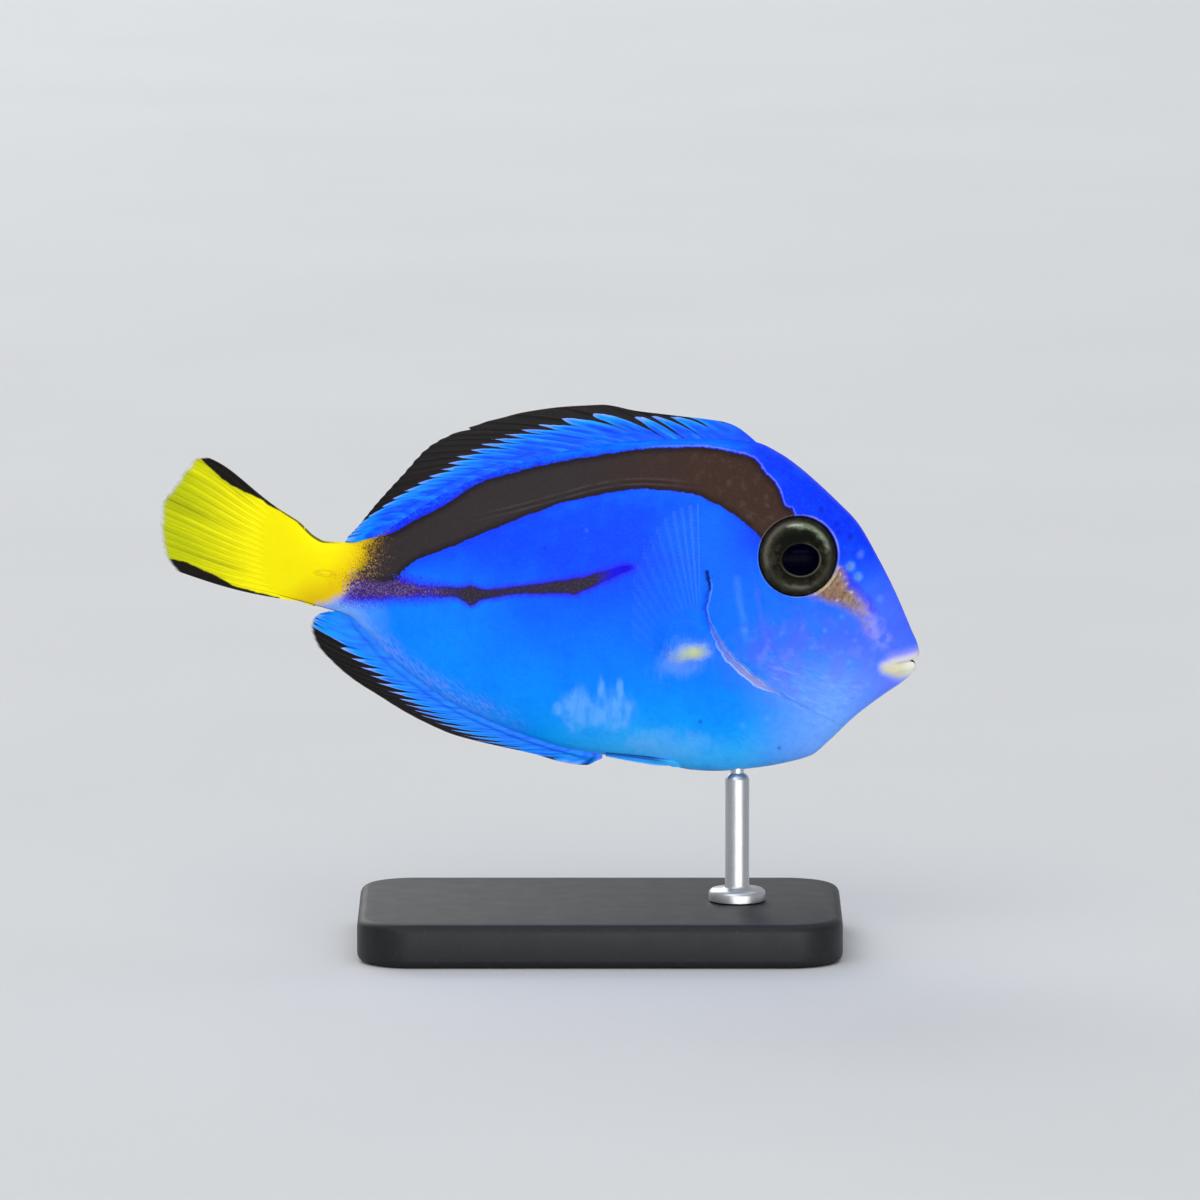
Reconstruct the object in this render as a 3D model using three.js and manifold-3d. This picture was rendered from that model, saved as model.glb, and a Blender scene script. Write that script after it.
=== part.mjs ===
// A young regal blue tang as a still, life-size model on a display stand.
// Millimetres, +Z up. +X runs towards the snout and -Y is the fish's right side.
// The origin is the centre of the underside of the stand's base.
import * as THREE from "three";
import { mergeVertices } from "three/addons/utils/BufferGeometryUtils.js";
import Module from "manifold-3d";

const wasm = await Module();
wasm.setup();

// Driving dimensions

const GAP = 0.3; // kept between pieces that meet
const FIN_MEMBRANE = 0.5; // thickness of the skin between the rays
const FIN_EDGE = 0.36; // thickness at the free edge

const SNOUT_X = 29; // front of the closed jaws
const STALK_CUT_X = -21.8; // where the torso meets the tail stalk
const STALK_END_X = -27.4; // where the flesh ends and the tail fin begins
const BODY_STATIONS = 44;
const STATION_CROWDING = 1.45; // above 1 the stations stand closer at the blunt snout than along the trunk
const RING_POINTS = 28;
const UPPER_FULLNESS = 1.35; // 1 is an ellipse, more is flatter flanks that meet in a sharper back
const LOWER_FULLNESS = 1.2;

const BEND_START_X = -12; // the hind body starts to curve away to the left side here
const BEND_LENGTH = 18;
const BEND_ANGLE = THREE.MathUtils.degToRad(26);

const EYE = { x: 17.95, z: 36.2, radius: 3.45, depth: 1.9, bulge: 0.75 };
const ORBIT_RIM = { radius: 3.95, thickness: 0.3 };
const NOSTRILS = [
  { x: 22.7, z: 35.1, radius: 0.36 },
  { x: 23.4, z: 34.15, radius: 0.3 },
];
const NOSTRIL_DEPTH = 0.7;
const GILL_STEP = 0.2; // how far the gill cover's edge stands over the shoulder
const GILL_FADE = { topZ: 37, fullZ: 33, frontX: 19, fullX: 11 }; // where that step starts and is full
const MOUTH_CORNER_X = 26.6;
const UPPER_LIP = { cornerZ: 26.45, frontX: 28.75, frontZ: 26.95, thickness: 0.45 };
const LOWER_LIP = { cornerZ: 25.85, frontX: 28.3, frontZ: 25.75, thickness: 0.42 };

// bow is how far a fin's rays curve away from the body
const DORSAL = { spines: 9, rays: 20, bow: 0.35 };
const ANAL = { spines: 3, rays: 19, bow: 0.6 };
const CAUDAL_RAYS = 18;
const PECTORAL_RAYS = 14;
const PELVIC_RAYS = 4;
const ROOT_SUNK = 0.9; // how deep a paired fin starts inside the flank before it is cut clear
const TAIL_SAG = 0.35; // how far the tail fin's rays curve down
const TAIL_RISE = 0.58; // how far its uppermost rays curve up again near their tips
const PECTORAL_BOW = 1.1; // how far a pectoral fin's rays curve out

const TAIL_BLADE = { x: -24.8, z: 33.9, length: 2, height: 0.5, proud: 0.32 };

const BASE = { length: 44, width: 28, height: 4, corner: 5, edge: 0.8 };
const ROD = { x: 12.5, radius: 1.1, foot: 2.6, footHeight: 0.9, pin: 0.6, pinDepth: 3, socket: 10 };

// Outlines along the fish, each a list of [x, value]

const TOPLINE = [
  [29, 26.95], [28.9, 27.6], [28.4, 28.8], [26.8, 32.55], [25.4, 35.35], [23.4, 38.8], [21.8, 40.5],
  [18.2, 43.8], [16.4, 45.1], [14.2, 46.15], [11, 46.6], [5.5, 46.55], [0, 46.1], [-5.5, 44.9],
  [-10.5, 43.35], [-14.5, 41.5], [-18.2, 39.1], [-20.6, 37.5], [-22.6, 36.8], [-25, 36.8],
  [-26, 37.2], [-27.4, 38.4],
];
const KEEL = [
  [29, 26.75], [28.9, 26.3], [28.5, 25.5], [27.3, 24.1], [25.9, 23.1], [23.2, 21.05], [20.9, 18.85],
  [19.3, 17.5], [18, 17.05], [14.5, 16.35], [10.5, 16], [8.5, 16.1], [4, 17.1], [0.4, 17.5],
  [-2.7, 18], [-6.4, 19.1], [-10, 20.5], [-13.2, 22], [-16.2, 24], [-19.1, 26.3], [-21.2, 28.6],
  [-22.8, 30.1], [-24.5, 30.55], [-27.4, 31.2],
];
const WIDEST = [
  [29, 26.8], [26, 27.6], [22, 30.2], [18, 32.5], [12, 33], [0, 32.4], [-12, 32.4], [-27.4, 34.6],
];
const HALF_WIDTH = [
  [29, 0.15], [28.9, 0.5], [28.5, 0.9], [27.7, 1.25], [26.8, 1.55], [25.4, 2], [23.4, 2.65], [20, 3.55],
  [16, 4.25], [12, 4.6], [8, 4.7], [2, 4.5], [-4, 3.95], [-10, 3.05], [-16, 2.1], [-20, 1.55],
  [-24, 1.2], [-27.4, 0.75],
];
const CREST = [[29, 0.1], [27, 0.35], [20, 0.8], [12, 0.55], [0, 0.45], [-27.4, 0.35]];

// The back edge of the gill cover from the nape to the throat, [x, z]
const GILL_EDGE = [
  [15.6, 48.5], [13.9, 46], [11.8, 42.7], [10.2, 38.6], [9.45, 34.8], [10.4, 33.2], [9.6, 31.3],
  [10.3, 29.5], [12.2, 26.9], [15, 24.5], [19.3, 21], [22.5, 15.5],
];
// A block that holds the whole head in front of that edge
const HEAD_BLOCK = { frontX: 40, topZ: 48.5, lowZ: 15.5, halfWidth: 10 };

// Fins: where each ray leaves the body and where its tip is, [root x, tip x, tip z]
const DORSAL_LINE = [
  [14.3, 13.9, 46.6], [13, 11, 48.05], [11, 7.2, 48.55], [8.5, 3.2, 49.05], [6, 0, 49.6], [4, -4.6, 49.3],
  [2, -9.1, 48.4], [-1, -12.8, 47.2], [-5, -15.5, 45.8], [-10, -18.1, 43], [-14.3, -20.3, 40.5],
  [-18.5, -22.2, 38.1], [-21.5, -23.2, 37.2],
];
const ANAL_LINE = [
  [0.2, -0.1, 17.05], [-0.5, -1.3, 16.5], [-1.3, -3.1, 16.7], [-2.4, -6.3, 17.6], [-3.8, -10, 18.45],
  [-5.2, -13.6, 19.4], [-7, -15.9, 20.4], [-9.2, -18.2, 21.6], [-11.5, -20.4, 22.95], [-13.8, -22.7, 24.35],
  [-16, -24.5, 25.8], [-18.3, -26, 27.5], [-20.2, -26.4, 28.9], [-21.6, -26.1, 29.8],
  [-22.7, -25.3, 30.05],
];
// The tail fin's free edge from its upper to its lower corner, [share of the way, x, z]
const CAUDAL_LINE = [
  [0, -35.9, 43.85], [0.07, -36.8, 43.75], [0.17, -37.8, 42.75], [0.3, -38.7, 41.4], [0.41, -39.5, 40.2],
  [0.52, -40.2, 39], [0.63, -40.25, 37.6], [0.74, -40.15, 36.3], [0.87, -39.9, 34.8], [1, -38.8, 33.2],
];
// A pectoral fin's rays from the leading one to the last, [share, root x, root z, tip x, tip z, tip out]
const PECTORAL_LINE = [
  [0, 9.1, 30.6, 8.9, 41.7, 3.6], [0.2, 8.5, 30.9, 6.9, 41.3, 4.6], [0.45, 7.4, 30.4, 4.6, 38.8, 5.2],
  [0.7, 6.3, 29.2, 3, 34.8, 4.8], [1, 5.3, 27.2, 2.8, 29.5, 3.2],
];
const PECTORAL_PAD = { x: 7.6, z: 29, length: 2.7, height: 2.6, proud: 0.35, sunk: 0.6 };
const PELVIC = { rootX: 8.7, tipX: 0.5, out: 0.75 };
const PELVIC_LOWER = [[8.7, 16.5], [7.5, 16.3], [3.6, 16.85], [0.5, 17.45]];
const PELVIC_UPPER = [[8.7, 17.2], [6.5, 17.5], [3.6, 17.6], [0.5, 17.8]];

// Colours and finishes
const LOOKS = {
  blue: { color: 0x1160f2, roughness: 0.42, metalness: 0 },
  finBlue: { color: 0x0b3fd0, roughness: 0.5, metalness: 0 },
  yellow: { color: 0xf2dc08, roughness: 0.45, metalness: 0 },
  clear: { color: 0xbfd8e8, roughness: 0.4, metalness: 0 },
  iris: { color: 0x4a4a2c, roughness: 0.15, metalness: 0 },
  base: { color: 0x26282b, roughness: 0.35, metalness: 0 },
  steel: { color: 0xb9bcc0, roughness: 0.3, metalness: 0.9 },
};

// Curves

// A smooth curve through [x, value] points that never overshoots them.
function curve(points) {
  const p = [...points].sort((a, b) => a[0] - b[0]);
  const slopes = p.slice(1).map((q, i) => (q[1] - p[i][1]) / (q[0] - p[i][0]));
  const tangents = p.map((_, i) => {
    const before = slopes[Math.max(i - 1, 0)];
    const after = slopes[Math.min(i, slopes.length - 1)];
    return before * after <= 0 ? 0 : (2 * before * after) / (before + after);
  });
  return (x) => {
    if (x <= p[0][0]) return p[0][1];
    if (x >= p[p.length - 1][0]) return p[p.length - 1][1];
    const i = p.findIndex((q) => q[0] > x) - 1;
    const h = p[i + 1][0] - p[i][0];
    const t = (x - p[i][0]) / h;
    const a = p[i][1] * (1 + 2 * t) * (1 - t) ** 2 + tangents[i] * h * t * (1 - t) ** 2;
    const b = p[i + 1][1] * t * t * (3 - 2 * t) + tangents[i + 1] * h * t * t * (t - 1);
    return a + b;
  };
}

// The curve of one column of a table over its first column.
const column = (table, k) => curve(table.map((row) => [row[0], row[k]]));

function smooth(from, to, x) {
  const t = THREE.MathUtils.clamp((x - from) / (to - from), 0, 1);
  return t * t * (3 - 2 * t);
}

const topline = curve(TOPLINE);
const keel = curve(KEEL);
const widest = curve(WIDEST);
const halfWidth = curve(HALF_WIDTH);
const crest = curve(CREST);

// Where a point of the straight fish lies once the hind body is curved.
function place(x, y, z) {
  const past = Math.max(0, BEND_START_X - x);
  const t = Math.min(1, past / BEND_LENGTH);
  const rise = Math.tan(BEND_ANGLE);
  const side = rise * (BEND_LENGTH * (t ** 3 - t ** 4 / 2) + Math.max(0, past - BEND_LENGTH));
  const slope = rise * (3 * t * t - 2 * t ** 3);
  const long = Math.hypot(1, slope);
  return new THREE.Vector3(x + (y * slope) / long, side + y / long, z);
}

// Closed meshes and solids

function closedMesh(vertices, faces) {
  let volume = 0;
  for (const [a, b, c] of faces) {
    volume += vertices[a].dot(new THREE.Vector3().crossVectors(vertices[b], vertices[c]));
  }
  const index = volume < 0 ? faces.map(([a, b, c]) => [a, c, b]) : faces;
  const geometry = new THREE.BufferGeometry().setFromPoints(vertices);
  geometry.setIndex(index.flat());
  return geometry;
}

// A skin over rings of points. A loop closes on itself, and any other loft gets a cap at each end.
function loft(rings, loop = false) {
  const n = rings[0].length;
  const vertices = rings.flat();
  const faces = [];
  for (let i = 0; i < (loop ? rings.length : rings.length - 1); i++) {
    const next = (i + 1) % rings.length;
    for (let k = 0; k < n; k++) {
      const a = i * n + k;
      const b = i * n + ((k + 1) % n);
      const c = next * n + ((k + 1) % n);
      const d = next * n + k;
      faces.push([a, b, c], [a, c, d]);
    }
  }
  if (!loop) {
    for (const [ring, turn] of [[0, 1], [rings.length - 1, -1]]) {
      const centre = rings[ring].reduce((sum, p) => sum.add(p), new THREE.Vector3()).divideScalar(n);
      const at = vertices.push(centre) - 1;
      for (let k = 0; k < n; k++) {
        const edge = [ring * n + ((k + 1) % n), ring * n + k];
        faces.push(turn > 0 ? [at, ...edge] : [at, ...edge.reverse()]);
      }
    }
  }
  return closedMesh(vertices, faces);
}

// A round tube of changing radius along a path.
function tube(path, radius, steps, sides) {
  const loop = Boolean(path.closed);
  const frames = path.computeFrenetFrames(steps, loop);
  const rings = [];
  for (let i = 0; i < (loop ? steps : steps + 1); i++) {
    const centre = path.getPointAt(i / steps);
    const r = radius(i / steps);
    const ring = [];
    for (let k = 0; k < sides; k++) {
      const a = (2 * Math.PI * k) / sides;
      const across = frames.normals[i].clone().multiplyScalar(r * Math.cos(a));
      const up = frames.binormals[i].clone().multiplyScalar(r * Math.sin(a));
      ring.push(centre.clone().add(across).add(up));
    }
    rings.push(ring);
  }
  return loft(rings, loop);
}

// A flat outline in [x, z] pulled out along Y.
function prism(outline, fromY, toY) {
  const shape = new THREE.Shape(outline.map(([x, z]) => new THREE.Vector2(x, z)));
  const geometry = new THREE.ExtrudeGeometry(shape, { depth: toY - fromY, bevelEnabled: false });
  geometry.rotateX(Math.PI / 2);
  geometry.translate(0, toY, 0);
  return geometry;
}

function solid(geometry) {
  const bare = geometry.index ? geometry.toNonIndexed() : geometry.clone();
  bare.deleteAttribute("normal");
  bare.deleteAttribute("uv");
  const merged = mergeVertices(bare, 1e-4);
  return new wasm.Manifold(
    new wasm.Mesh({
      numProp: 3,
      vertProperties: merged.attributes.position.array,
      triVerts: new Uint32Array(merged.index.array),
    }),
  );
}

// The largest closed surface of a solid, back as a geometry.
function geometryOf(body) {
  const bodies = body.decompose();
  const kept = bodies.reduce((best, b) => (b.volume() > best.volume() ? b : best));
  const mesh = kept.getMesh();
  const geometry = new THREE.BufferGeometry();
  geometry.setAttribute("position", new THREE.BufferAttribute(mesh.vertProperties, mesh.numProp));
  geometry.setIndex(new THREE.BufferAttribute(mesh.triVerts, 1));
  geometry.computeVertexNormals();
  return geometry;
}

const fish = new THREE.Group();

function addPiece(name, geometry, look, group = fish) {
  const mesh = new THREE.Mesh(geometry, new THREE.MeshStandardMaterial(LOOKS[look]));
  mesh.name = name;
  group.add(mesh);
}

// Body

// The cross-section at x, as a ring round the fish. extra grows it on all sides.
// cover is how far the gill cover stands out over the flank.
function bodyRing(x, extra, cover) {
  const top = topline(x) + extra;
  const low = keel(x) - extra;
  const mid = widest(x);
  const wide = halfWidth(x) + extra;
  const back = crest(x) + extra / 2;
  const ring = [];
  for (let k = 0; k < RING_POINTS; k++) {
    const a = (2 * Math.PI * k) / RING_POINTS;
    const across = Math.abs(Math.cos(a));
    const up = Math.sin(a);
    const z = up > 0 ? mid + (top - mid) * up : mid + (mid - low) * up;
    const { topZ, fullZ, frontX, fullX } = GILL_FADE;
    const step = cover * smooth(topZ, fullZ, z) * smooth(frontX, fullX, x) * smooth(0, 0.5, across);
    const y = sectionWidth(across, up, wide, back) + step;
    ring.push(place(x, y * Math.sign(Math.cos(a)), z));
  }
  return ring;
}

function sectionWidth(across, up, wide, back) {
  if (across < 1e-9) return 0;
  const fullness = up > 0 ? UPPER_FULLNESS : LOWER_FULLNESS;
  return back * across ** 0.4 + (wide - back) * across ** fullness;
}

// Half the fish's width at height z.
function flank(x, z) {
  const mid = widest(x);
  const up = (z - mid) / (z > mid ? topline(x) - mid : mid - keel(x));
  if (Math.abs(up) >= 1) return 0;
  return sectionWidth(Math.sqrt(1 - up * up), up, halfWidth(x), crest(x));
}

// The direction that faces straight out of the right flank.
function outward(x, z) {
  const d = 0.5;
  const along = (flank(x + d, z) - flank(x - d, z)) / (2 * d);
  const above = (flank(x, z + d) - flank(x, z - d)) / (2 * d);
  return new THREE.Vector3(-along, -1, -above).normalize();
}

function bodySolid(extra = 0, cover = 0, endX = STALK_CUT_X + GAP / 2) {
  const rings = [];
  for (let i = 0; i <= BODY_STATIONS; i++) {
    const t = i / BODY_STATIONS;
    const x = SNOUT_X - (SNOUT_X - endX) * t ** STATION_CROWDING;
    rings.push(bodyRing(x, extra, cover));
  }
  return solid(loft(rings));
}

// The gill edge as a smooth line, moved back from the head by a distance.
function gillLine(back) {
  const line = new THREE.SplineCurve(GILL_EDGE.map(([x, z]) => new THREE.Vector2(x, z)));
  const points = [];
  const steps = 48;
  for (let i = 0; i <= steps; i++) {
    const p = line.getPoint(i / steps);
    const along = line.getTangent(i / steps);
    points.push([p.x + along.y * back, p.y - along.x * back]);
  }
  return points;
}

function headBlock(back) {
  const { frontX, topZ, lowZ, halfWidth } = HEAD_BLOCK;
  return solid(prism([...gillLine(back), [frontX, lowZ], [frontX, topZ]], -halfWidth, halfWidth));
}

function mirrored(geometry) {
  const copy = geometry.clone().scale(1, -1, 1);
  const index = copy.index.array;
  for (let i = 0; i < index.length; i += 3) {
    [index[i + 1], index[i + 2]] = [index[i + 2], index[i + 1]];
  }
  return copy;
}

// Joins or cuts with a tool and its mirror image on the left side.
function bothSides(geometry) {
  return solid(geometry).add(solid(mirrored(geometry)));
}

// An egg shape whose short axis looks out of the right flank.
function flankEgg(x, z, radius, depth, sunk, detail) {
  const facing = outward(x, z);
  const egg = new THREE.SphereGeometry(1, detail, detail / 2);
  egg.rotateX(Math.PI / 2);
  egg.scale(radius, depth, radius);
  const turn = new THREE.Quaternion().setFromUnitVectors(new THREE.Vector3(0, -1, 0), facing);
  egg.applyQuaternion(turn);
  const centre = new THREE.Vector3(x, -flank(x, z), z).addScaledVector(facing, -sunk);
  egg.translate(centre.x, centre.y, centre.z);
  egg.deleteAttribute("normal");
  egg.deleteAttribute("uv");
  return mergeVertices(egg, 1e-4);
}

function eyeball(extra) {
  const { x, z, radius, depth, bulge } = EYE;
  return flankEgg(x, z, radius + extra, depth + extra, depth - bulge, 20);
}

function orbitRim() {
  const points = [];
  for (let i = 0; i < 16; i++) {
    const a = (2 * Math.PI * i) / 16;
    const x = EYE.x + ORBIT_RIM.radius * Math.cos(a);
    const z = EYE.z + ORBIT_RIM.radius * Math.sin(a);
    points.push(new THREE.Vector3(x, -flank(x, z), z));
  }
  const path = new THREE.CatmullRomCurve3(points, true);
  return tube(path, () => ORBIT_RIM.thickness, 24, 5);
}

function nostril({ x, z, radius }) {
  const pit = new THREE.CylinderGeometry(radius, radius, 2 * NOSTRIL_DEPTH, 8);
  const turn = new THREE.Quaternion().setFromUnitVectors(new THREE.Vector3(0, 1, 0), outward(x, z));
  pit.applyQuaternion(turn);
  pit.translate(x, -flank(x, z), z);
  pit.deleteAttribute("normal");
  pit.deleteAttribute("uv");
  return mergeVertices(pit, 1e-4);
}

// A lip runs from one corner of the mouth round the front to the other.
function lip({ cornerZ, frontX, frontZ, thickness }) {
  const half = flank(MOUTH_CORNER_X, cornerZ);
  const points = [
    [MOUTH_CORNER_X, half, cornerZ],
    [(MOUTH_CORNER_X + frontX) / 2 + 0.1, half * 0.88, (cornerZ + frontZ) / 2],
    [frontX - 0.25, half * 0.5, frontZ - 0.05],
    [frontX, 0, frontZ],
  ];
  const left = points.slice(0, 3).reverse().map(([x, y, z]) => [x, -y, z]);
  const path = new THREE.CatmullRomCurve3([...points, ...left].map((p) => new THREE.Vector3(...p)));
  return solid(tube(path, (t) => thickness * (0.55 + 0.45 * Math.sin(Math.PI * t)), 14, 6));
}

function mouthSlit() {
  const slit = [[26.5, 26.1], [28, 26.05], [30, 26.1], [30, 26.5], [28, 26.35], [26.5, 26.2]];
  const core = [[20, 25], [27.9, 25], [27.9, 27.5], [20, 27.5]];
  return solid(prism(slit, -3, 3)).subtract(solid(prism(core, -0.45, 0.45)));
}

function headGeometry() {
  let head = bodySolid(0, GILL_STEP).intersect(headBlock(0));
  head = head.add(lip(UPPER_LIP)).add(lip(LOWER_LIP));
  head = head.add(bothSides(orbitRim()));
  head = head.subtract(bothSides(eyeball(GAP)));
  for (const pit of NOSTRILS) head = head.subtract(bothSides(nostril(pit)));
  return geometryOf(head.subtract(mouthSlit()));
}

function pectoralPad(extra) {
  const { x, z, length, height, proud, sunk } = PECTORAL_PAD;
  const pad = flankEgg(x, z, 1, 1, 0, 14);
  const y = -flank(x, z);
  pad.translate(-x, -y, -z).scale(length + extra, proud + sunk + extra, height + extra);
  return pad.translate(x, y + sunk, z);
}

function rodSocket() {
  const hole = new THREE.CylinderGeometry(ROD.pin + GAP, ROD.pin + GAP, ROD.socket, 12);
  hole.rotateX(Math.PI / 2);
  return solid(hole.translate(ROD.x, 0, keel(ROD.x) + ROD.pinDepth + GAP - ROD.socket / 2));
}

function torsoGeometry() {
  const trunk = bodySolid().add(bothSides(pectoralPad(0)));
  return geometryOf(trunk.subtract(headBlock(GAP)).subtract(rodSocket()));
}

// The folding blade on each side of the tail stalk, lying forward in its groove.
function tailBlade() {
  const { x, z, length, height, proud } = TAIL_BLADE;
  const rings = [];
  for (let i = 0; i <= 4; i++) {
    const t = i / 4;
    const at = x - length / 2 + length * t;
    const size = Math.sin(Math.PI * (0.1 + 0.85 * t)) ** 0.7;
    const ring = [];
    for (let k = 0; k < 6; k++) {
      const a = (Math.PI * k) / 3;
      const y = -flank(at, z) - proud * size * Math.cos(a);
      ring.push(place(at, y, z + (height / 2) * size * Math.sin(a)));
    }
    rings.push(ring);
  }
  return rings;
}

function stalkGeometry() {
  const stations = 10;
  const rings = [];
  for (let i = 0; i <= stations; i++) {
    const startX = STALK_CUT_X - GAP / 2;
    rings.push(bodyRing(startX + ((STALK_END_X - startX) * i) / stations, 0, 0));
  }
  const right = tailBlade();
  const left = right.map((ring) => ring.map((p) => acrossBend(p)));
  return geometryOf(solid(loft(rings)).add(solid(loft(right))).add(solid(loft(left))));
}

// The mirror image of a point of the curved hind body, through its bent middle plane.
function acrossBend(p) {
  let x = p.x;
  for (let i = 0; i < 8; i++) x += p.x - place(x, straightY(x, p), p.z).x;
  return place(x, -straightY(x, p), p.z);
}

function straightY(x, p) {
  const middle = place(x, 0, p.z);
  return Math.sign(p.y - middle.y) * middle.distanceTo(p);
}

// Fins

// A thin sheet over a grid, both faces split alike. point(i, j, side) gives its corners.
function sheet(columns, rows, point) {
  const vertices = [];
  const faces = [];
  const at = (i, j, side) => (i * (rows + 1) + j) * 2 + side;
  for (let i = 0; i <= columns; i++) {
    for (let j = 0; j <= rows; j++) vertices.push(point(i, j, 1), point(i, j, -1));
  }
  const strip = (i, j, u, v) => {
    faces.push([at(i, j, 0), at(u, v, 1), at(u, v, 0)], [at(i, j, 0), at(i, j, 1), at(u, v, 1)]);
  };
  for (let i = 0; i < columns; i++) {
    for (let j = 0; j < rows; j++) {
      const corners = [[i, j], [i, j + 1], [i + 1, j + 1], [i + 1, j]];
      const [a, b, c, d] = corners.map(([u, v]) => at(u, v, 0));
      faces.push([a, c, b], [a, d, c]);
      const [e, f, g, h] = corners.map(([u, v]) => at(u, v, 1));
      faces.push([e, f, g], [e, g, h]);
    }
  }
  for (let i = 0; i < columns; i++) {
    strip(i, 0, i + 1, 0);
    strip(i + 1, rows, i, rows);
  }
  for (let j = 0; j < rows; j++) {
    strip(0, j + 1, 0, j);
    strip(columns, j, columns, j + 1);
  }
  return closedMesh(vertices, faces);
}

// Half the thickness of a fin at s of the way from root to edge, on a ray or on the membrane.
function finHalf(s, onRay, ridge) {
  const membrane = THREE.MathUtils.lerp(FIN_MEMBRANE, FIN_EDGE, smooth(0.75, 1, s)) / 2;
  return membrane + (onRay ? ridge * (1 - 0.7 * s) : 0) + 0.1 * (1 - smooth(0, 0.3, s));
}

// A fin along the back or belly. Its rays lean back from a root line that follows the body.
function medianFin({ spines, rays, bow }, line, bodyLine, up) {
  const tipX = column(line, 1);
  const tipZ = column(line, 2);
  const count = spines + rays;
  const columns = 2 * (count - 1);
  const rows = 5;
  const frontX = line[0][0];
  const backX = line[line.length - 1][0];
  return sheet(columns, rows, (i, j, side) => {
    const rootX = THREE.MathUtils.lerp(frontX, backX, i / columns);
    const rootZ = bodyLine(rootX) + up * GAP;
    const onRay = i % 2 === 0;
    const s = j / rows;
    const reach = s * (onRay ? 1 : 1 - 0.035 * s);
    const curved = bow * up * Math.sin(Math.PI * reach);
    const x = THREE.MathUtils.lerp(rootX, tipX(rootX), reach);
    const z = THREE.MathUtils.lerp(rootZ, tipZ(rootX), reach) + curved;
    const ridge = i / 2 < spines ? 0.2 : 0.13;
    return place(x, side * finHalf(s, onRay, ridge), z);
  });
}

function caudalFin() {
  const tipX = column(CAUDAL_LINE, 1);
  const tipZ = column(CAUDAL_LINE, 2);
  const rootX = STALK_END_X - GAP;
  const columns = 2 * (CAUDAL_RAYS - 1);
  const rows = 7;
  return sheet(columns, rows, (i, j, side) => {
    const share = i / columns;
    const onRay = i % 2 === 0;
    const s = j / rows;
    const reach = s * (onRay ? 1 : 1 - 0.02 * s);
    const rootZ = THREE.MathUtils.lerp(topline(STALK_END_X) + 0.15, keel(STALK_END_X), share);
    const x = THREE.MathUtils.lerp(rootX, tipX(share), reach);
    const sag = TAIL_SAG * Math.sin(Math.PI * s);
    const rise = TAIL_RISE * (1 - share) ** 2 * Math.sin(Math.PI * s * s);
    const z = THREE.MathUtils.lerp(rootZ, tipZ(share), reach) - sag + rise;
    return place(x, side * finHalf(s, onRay, 0.14), z);
  });
}

// A fin surface given by its middle points, thickened along its own normal.
function thickened(columns, rows, middle, half) {
  return sheet(columns, rows, (i, j, side) => {
    const clampColumn = (k) => THREE.MathUtils.clamp(k, 0, columns);
    const clampRow = (k) => THREE.MathUtils.clamp(k, 0, rows);
    const across = middle(clampColumn(i + 1), j).sub(middle(clampColumn(i - 1), j));
    const along = middle(i, clampRow(j + 1)).sub(middle(i, clampRow(j - 1)));
    const normal = across.cross(along).normalize();
    return middle(i, j).addScaledVector(normal, side * half(i, j));
  });
}

function pectoralFin() {
  const [rootX, rootZ, tipX, tipZ, tipOut] = [1, 2, 3, 4, 5].map((k) => column(PECTORAL_LINE, k));
  const columns = 2 * (PECTORAL_RAYS - 1);
  const rows = 7;
  const middle = (i, j) => {
    const share = i / columns;
    const onRay = i % 2 === 0;
    const s = (j / rows) * (onRay ? 1 : 0.975);
    const out = flank(rootX(share), rootZ(share));
    const root = new THREE.Vector3(rootX(share), ROOT_SUNK - out, rootZ(share));
    const tip = new THREE.Vector3(tipX(share), -out - tipOut(share), tipZ(share));
    const point = root.clone().lerp(tip, s);
    point.y -= PECTORAL_BOW * Math.sin(Math.PI * s);
    return point;
  };
  return thickened(columns, rows, middle, (i, j) => finHalf(j / rows, i % 2 === 0, 0.1));
}

function pelvicFin() {
  const lower = curve(PELVIC_LOWER);
  const upper = curve(PELVIC_UPPER);
  const columns = 2 * (PELVIC_RAYS - 1);
  const rows = 7;
  const middle = (i, j) => {
    const x = THREE.MathUtils.lerp(PELVIC.rootX, PELVIC.tipX, j / rows);
    const z = THREE.MathUtils.lerp(lower(x), upper(x), i / columns);
    const y = Math.max(PELVIC.out, flank(x, Math.max(z, keel(x) + 0.05)) + GAP + FIN_MEMBRANE / 2);
    return new THREE.Vector3(x, -y, z);
  };
  return thickened(columns, rows, middle, (i, j) => finHalf(j / rows, i % 2 === 0, 0.08));
}

// Stand

function baseGeometry() {
  const { length, width, height, corner, edge } = BASE;
  const l = length / 2 - edge;
  const w = width / 2 - edge;
  const r = corner - edge;
  const shape = new THREE.Shape();
  shape.moveTo(-l + r, -w);
  shape.lineTo(l - r, -w).absarc(l - r, -w + r, r, -Math.PI / 2, 0);
  shape.lineTo(l, w - r).absarc(l - r, w - r, r, 0, Math.PI / 2);
  shape.lineTo(-l + r, w).absarc(-l + r, w - r, r, Math.PI / 2, Math.PI);
  shape.lineTo(-l, -w + r).absarc(-l + r, -w + r, r, Math.PI, 1.5 * Math.PI);
  const geometry = new THREE.ExtrudeGeometry(shape, {
    depth: height - 2 * edge,
    curveSegments: 4,
    bevelThickness: edge,
    bevelSize: edge,
    bevelSegments: 2,
  });
  return geometry.translate(0, 0, edge);
}

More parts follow.
